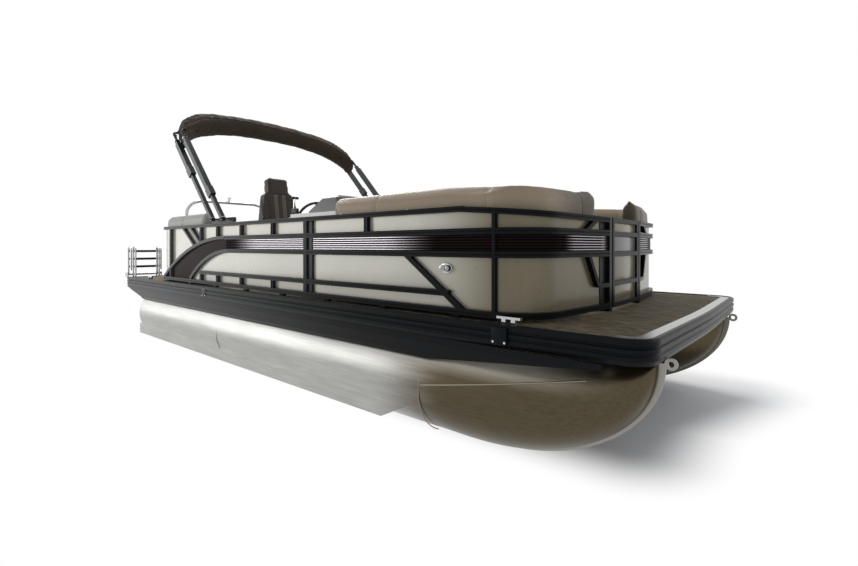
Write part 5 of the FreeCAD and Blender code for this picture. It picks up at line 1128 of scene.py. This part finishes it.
# %% Sunshade boot
TILT = math.radians(44)
UP_LEG = Vector((-math.sin(TILT), 0, math.cos(TILT)))
FORWARD = Vector((math.cos(TILT), 0, math.sin(TILT)))
PIVOT_Z = 1.508
MID_PIVOT = (-0.32, 0, PIVOT_Z)
BOOT_END = 1.2215
boot = solid_copy("sunshade_boot", "sunshade_cover")
for side, _ in SIDES:
    edit(boot, bpy.ops.mesh.bisect, plane_co=(0, side * BOOT_END, 0), plane_no=(0, side, 0),
         use_fill=True, clear_outer=True)
modify(boot, "REMESH", mode="VOXEL", voxel_size=0.014)
modify(boot, "SMOOTH", factor=0.5, iterations=10)
places = points_of(boot)
x, y, z = places.T
out = np.abs(y)
ends = slope(out, 0.80, 1.10)
along = (places - np.array(MID_PIVOT)) @ np.array(UP_LEG)
wave = np.sin(y * 21 + z * 17) + 0.6 * np.sin(y * 47 - x * 31) + 0.5 * np.sin(x * 60 + z * 38)
fold = np.sin((out * 1.1 + along * 1.6) * 46) + 0.5 * np.sin((out - along) * 73)
push = wave * (0.0020 - 0.0008 * ends) + fold * 0.0036 * ends - 0.003
put_points(boot, places + normals_of(boot) * push[:, None])
wear(boot, BOOT)
smooth(boot)
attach(boot, "shade_boot")
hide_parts("sunshade_boot")
print("boot", len(boot.data.polygons), "faces")

# %% [markdown]
# ## Piping on the boot
# A dark piping runs along the boot's lower front edge. Its height is given at nine places, and a
# probe from the front finds the cloth at each, so the bead lies on it.

# %% Boot piping
# across the boat, and up the legs from the pivots
PIPING_LINE = ((-1.16, 1.571), (-1.018, 1.625), (-0.749, 1.70), (-0.472, 1.74), (-0.2, 1.745),
               (0.2, 1.725), (0.505, 1.695), (0.838, 1.648), (1.16, 1.575))
line = []
for across, up in PIPING_LINE:
    base = Vector((MID_PIVOT[0], across, PIVOT_Z)) + UP_LEG * up
    place = touch(boot, base + FORWARD * 0.8, -FORWARD)
    if place is not None:
        line.append(place + FORWARD * 0.002)
rope("boot_piping", line, 0.005, PIPING, "shade_boot", curved=True)
print("piping through", len(line), "points")

# %% [markdown]
# ## Bow ends, pins and buckles
# The bows in the boot are bent tubes whose ends come out beside the legs. Each turns on a pin at
# the leg's top, and a strap buckle sits where it bends into the cloth.

# %% Bow ends, pins and buckles
TOP_PIN = 1.32
PIN_Y = 1.263
# up the leg from the pin, and inboard
BEND = ((0.03, 0), (0.10, 0), (0.145, 0), (0.172, 0.035), (0.186, 0.10), (0.195, 0.19))
BUCKLE = Vector((0.014, 0.010, 0.012))
bows = []
for pivot_x in (-0.435, -0.205):
    for side, _ in SIDES:
        pin = Vector((pivot_x, side * PIN_Y, PIVOT_Z)) + UP_LEG * TOP_PIN
        path = [pin + UP_LEG * up + Vector((0, -side * inboard, 0)) for up, inboard in BEND]
        bows.append(rope("bow_end", path, 0.015, SHADE_TUBE, "shade_boot", curved=True))
        bows.append(barrel("bow_pin", pin + Vector((0, side * 0.002, 0)), 0.011, 0.052, ACROSS,
                           POLISHED, "shade_boot", sides=16))
        strap = pin + UP_LEG * 0.105 - Vector((0, side * 0.012, 0))
        bows.append(block("buckle", strap - BUCKLE, strap + BUCKLE, 0.003, BLACK, "shade_boot"))
print("bow ends, pins and buckles", len(bows))
join("shade_bow_ends", bows)

# %% [markdown]
# ## Helm
# The pod carries round gauges, a throttle stands beside the wheel, and cup holders are let into
# the console. Two probes, one above the other, give the lean of the pod's face, so that the
# gauges lie flat on it. Their faces stay bare.

# %% Gauges, cup holders and throttle
GAUGE_Z, HIGHER_Z = 1.602, 1.622
UPRIGHT = (0, 0, 1)
pod = nodes["helm_dash"]
for count, y in enumerate((-0.745, -0.625, -0.505)):
    face = touch(pod, (0.2, y, GAUGE_Z), (1, 0, 0))
    over = touch(pod, (0.2, y, HIGHER_Z), (1, 0, 0))
    way = Vector((-(HIGHER_Z - GAUGE_Z), 0, over[0] - face[0])).normalized()
    ring = barrel(f"gauge_ring_{count}", face, 0.038, 0.012, way, POLISHED, edge=0.003, sides=36)
    dial = barrel(f"gauge_dial_{count}", face + way * 0.0045, 0.033, 0.006, way, DIAL,
                  edge=0.0005, sides=36)
    join(f"gauge_{count}", [ring, dial])
    print("gauge", count, "at", [round(v, 3) for v in face])
for count, y in enumerate((-0.885, -0.365)):
    ring = barrel("cup_ring", (0.62, y, 1.5335), 0.046, 0.005, UPRIGHT, POLISHED, sides=36)
    well = barrel("cup_well", (0.62, y, 1.5350), 0.038, 0.004, UPRIGHT, BLACK, edge=0.0008,
                  sides=36)
    join(f"cup_holder_{count}", [ring, well])
lever = block("throttle_base", (0.50, -0.935, 1.530), (0.60, -0.905, 1.590), 0.010, BLACK)
arm = block("throttle_arm", (0.535, -0.932, 1.580), (0.553, -0.914, 1.690), 0.004, POLISHED)
grip = barrel("throttle_grip", (0.544, -0.915, 1.690), 0.013, 0.070, ACROSS, BLACK, edge=0.004,
              sides=20)
join("throttle", [lever, arm, grip])

# %% [markdown]
# ## Ladder treads and cover snaps
# The ladder's steps wear black treads with ribs that give grip to wet feet. Small snaps for a
# cover sit on the top rail, except over the side gate.

# %% Ladder treads and cover snaps
FIRST_STEP, STEP_RISE = 0.827 + 0.095, 0.110
treads = []
for step in range(3):
    foot = FIRST_STEP + STEP_RISE * step
    treads.append(block(f"tread_{step}", (-3.1355, -1.245, foot - 0.0015),
                        (-3.0725, -0.885, foot + 0.0275), 0.003, RUBBER, "ladder"))
    for rib in range(4):
        low = (-3.128 + 0.016 * rib, -1.240, foot + 0.0270)
        high = (low[0] + 0.006, -0.890, foot + 0.0290)
        treads.append(block("tread_rib", low, high, 0.0008, RUBBER, "ladder"))
print("treads and ribs", len(treads))
join("ladder_treads", treads)
snaps = [barrel("snap", (x, side * 1.199, 1.4705), 0.008, 0.005, UPRIGHT, POLISHED, edge=0.0015,
                sides=16)
         for x in (-1.53, -0.06, 0.9, 1.6, 2.3) for side, _ in SIDES if (x, side) != (0.9, 1)]
print("cover snaps", len(snaps))
join("cover_snaps", snaps)

# %% [markdown]
# ## Cowl seam
# A motor's cowl lifts off above a rubber seam. Probes from all round find the cowl's wall in a
# tilted plane at a third of its height, and a closed bead follows it.

# %% Cowl seam
SEAM_PROBES = 40
SEAM_LEAN = 0.20
low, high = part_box("engine_cowl")
middle = Vector(((low[0] + high[0]) / 2, 0, low[2] + (high[2] - low[2]) * 0.33))
ring = []
for step in range(SEAM_PROBES):
    angle = 2 * math.pi * step / SEAM_PROBES
    way = Vector((math.cos(angle), math.sin(angle), 0))
    start = middle + way * 0.9 - Vector((0, 0, SEAM_LEAN * way[0]))
    place = touch(nodes["engine_cowl"], start, -way)
    if place is not None:
        ring.append(place)
rope("cowl_seam", ring, 0.0028, BLACK, "engine", closed=True)
print("cowl seam through", len(ring), "points")
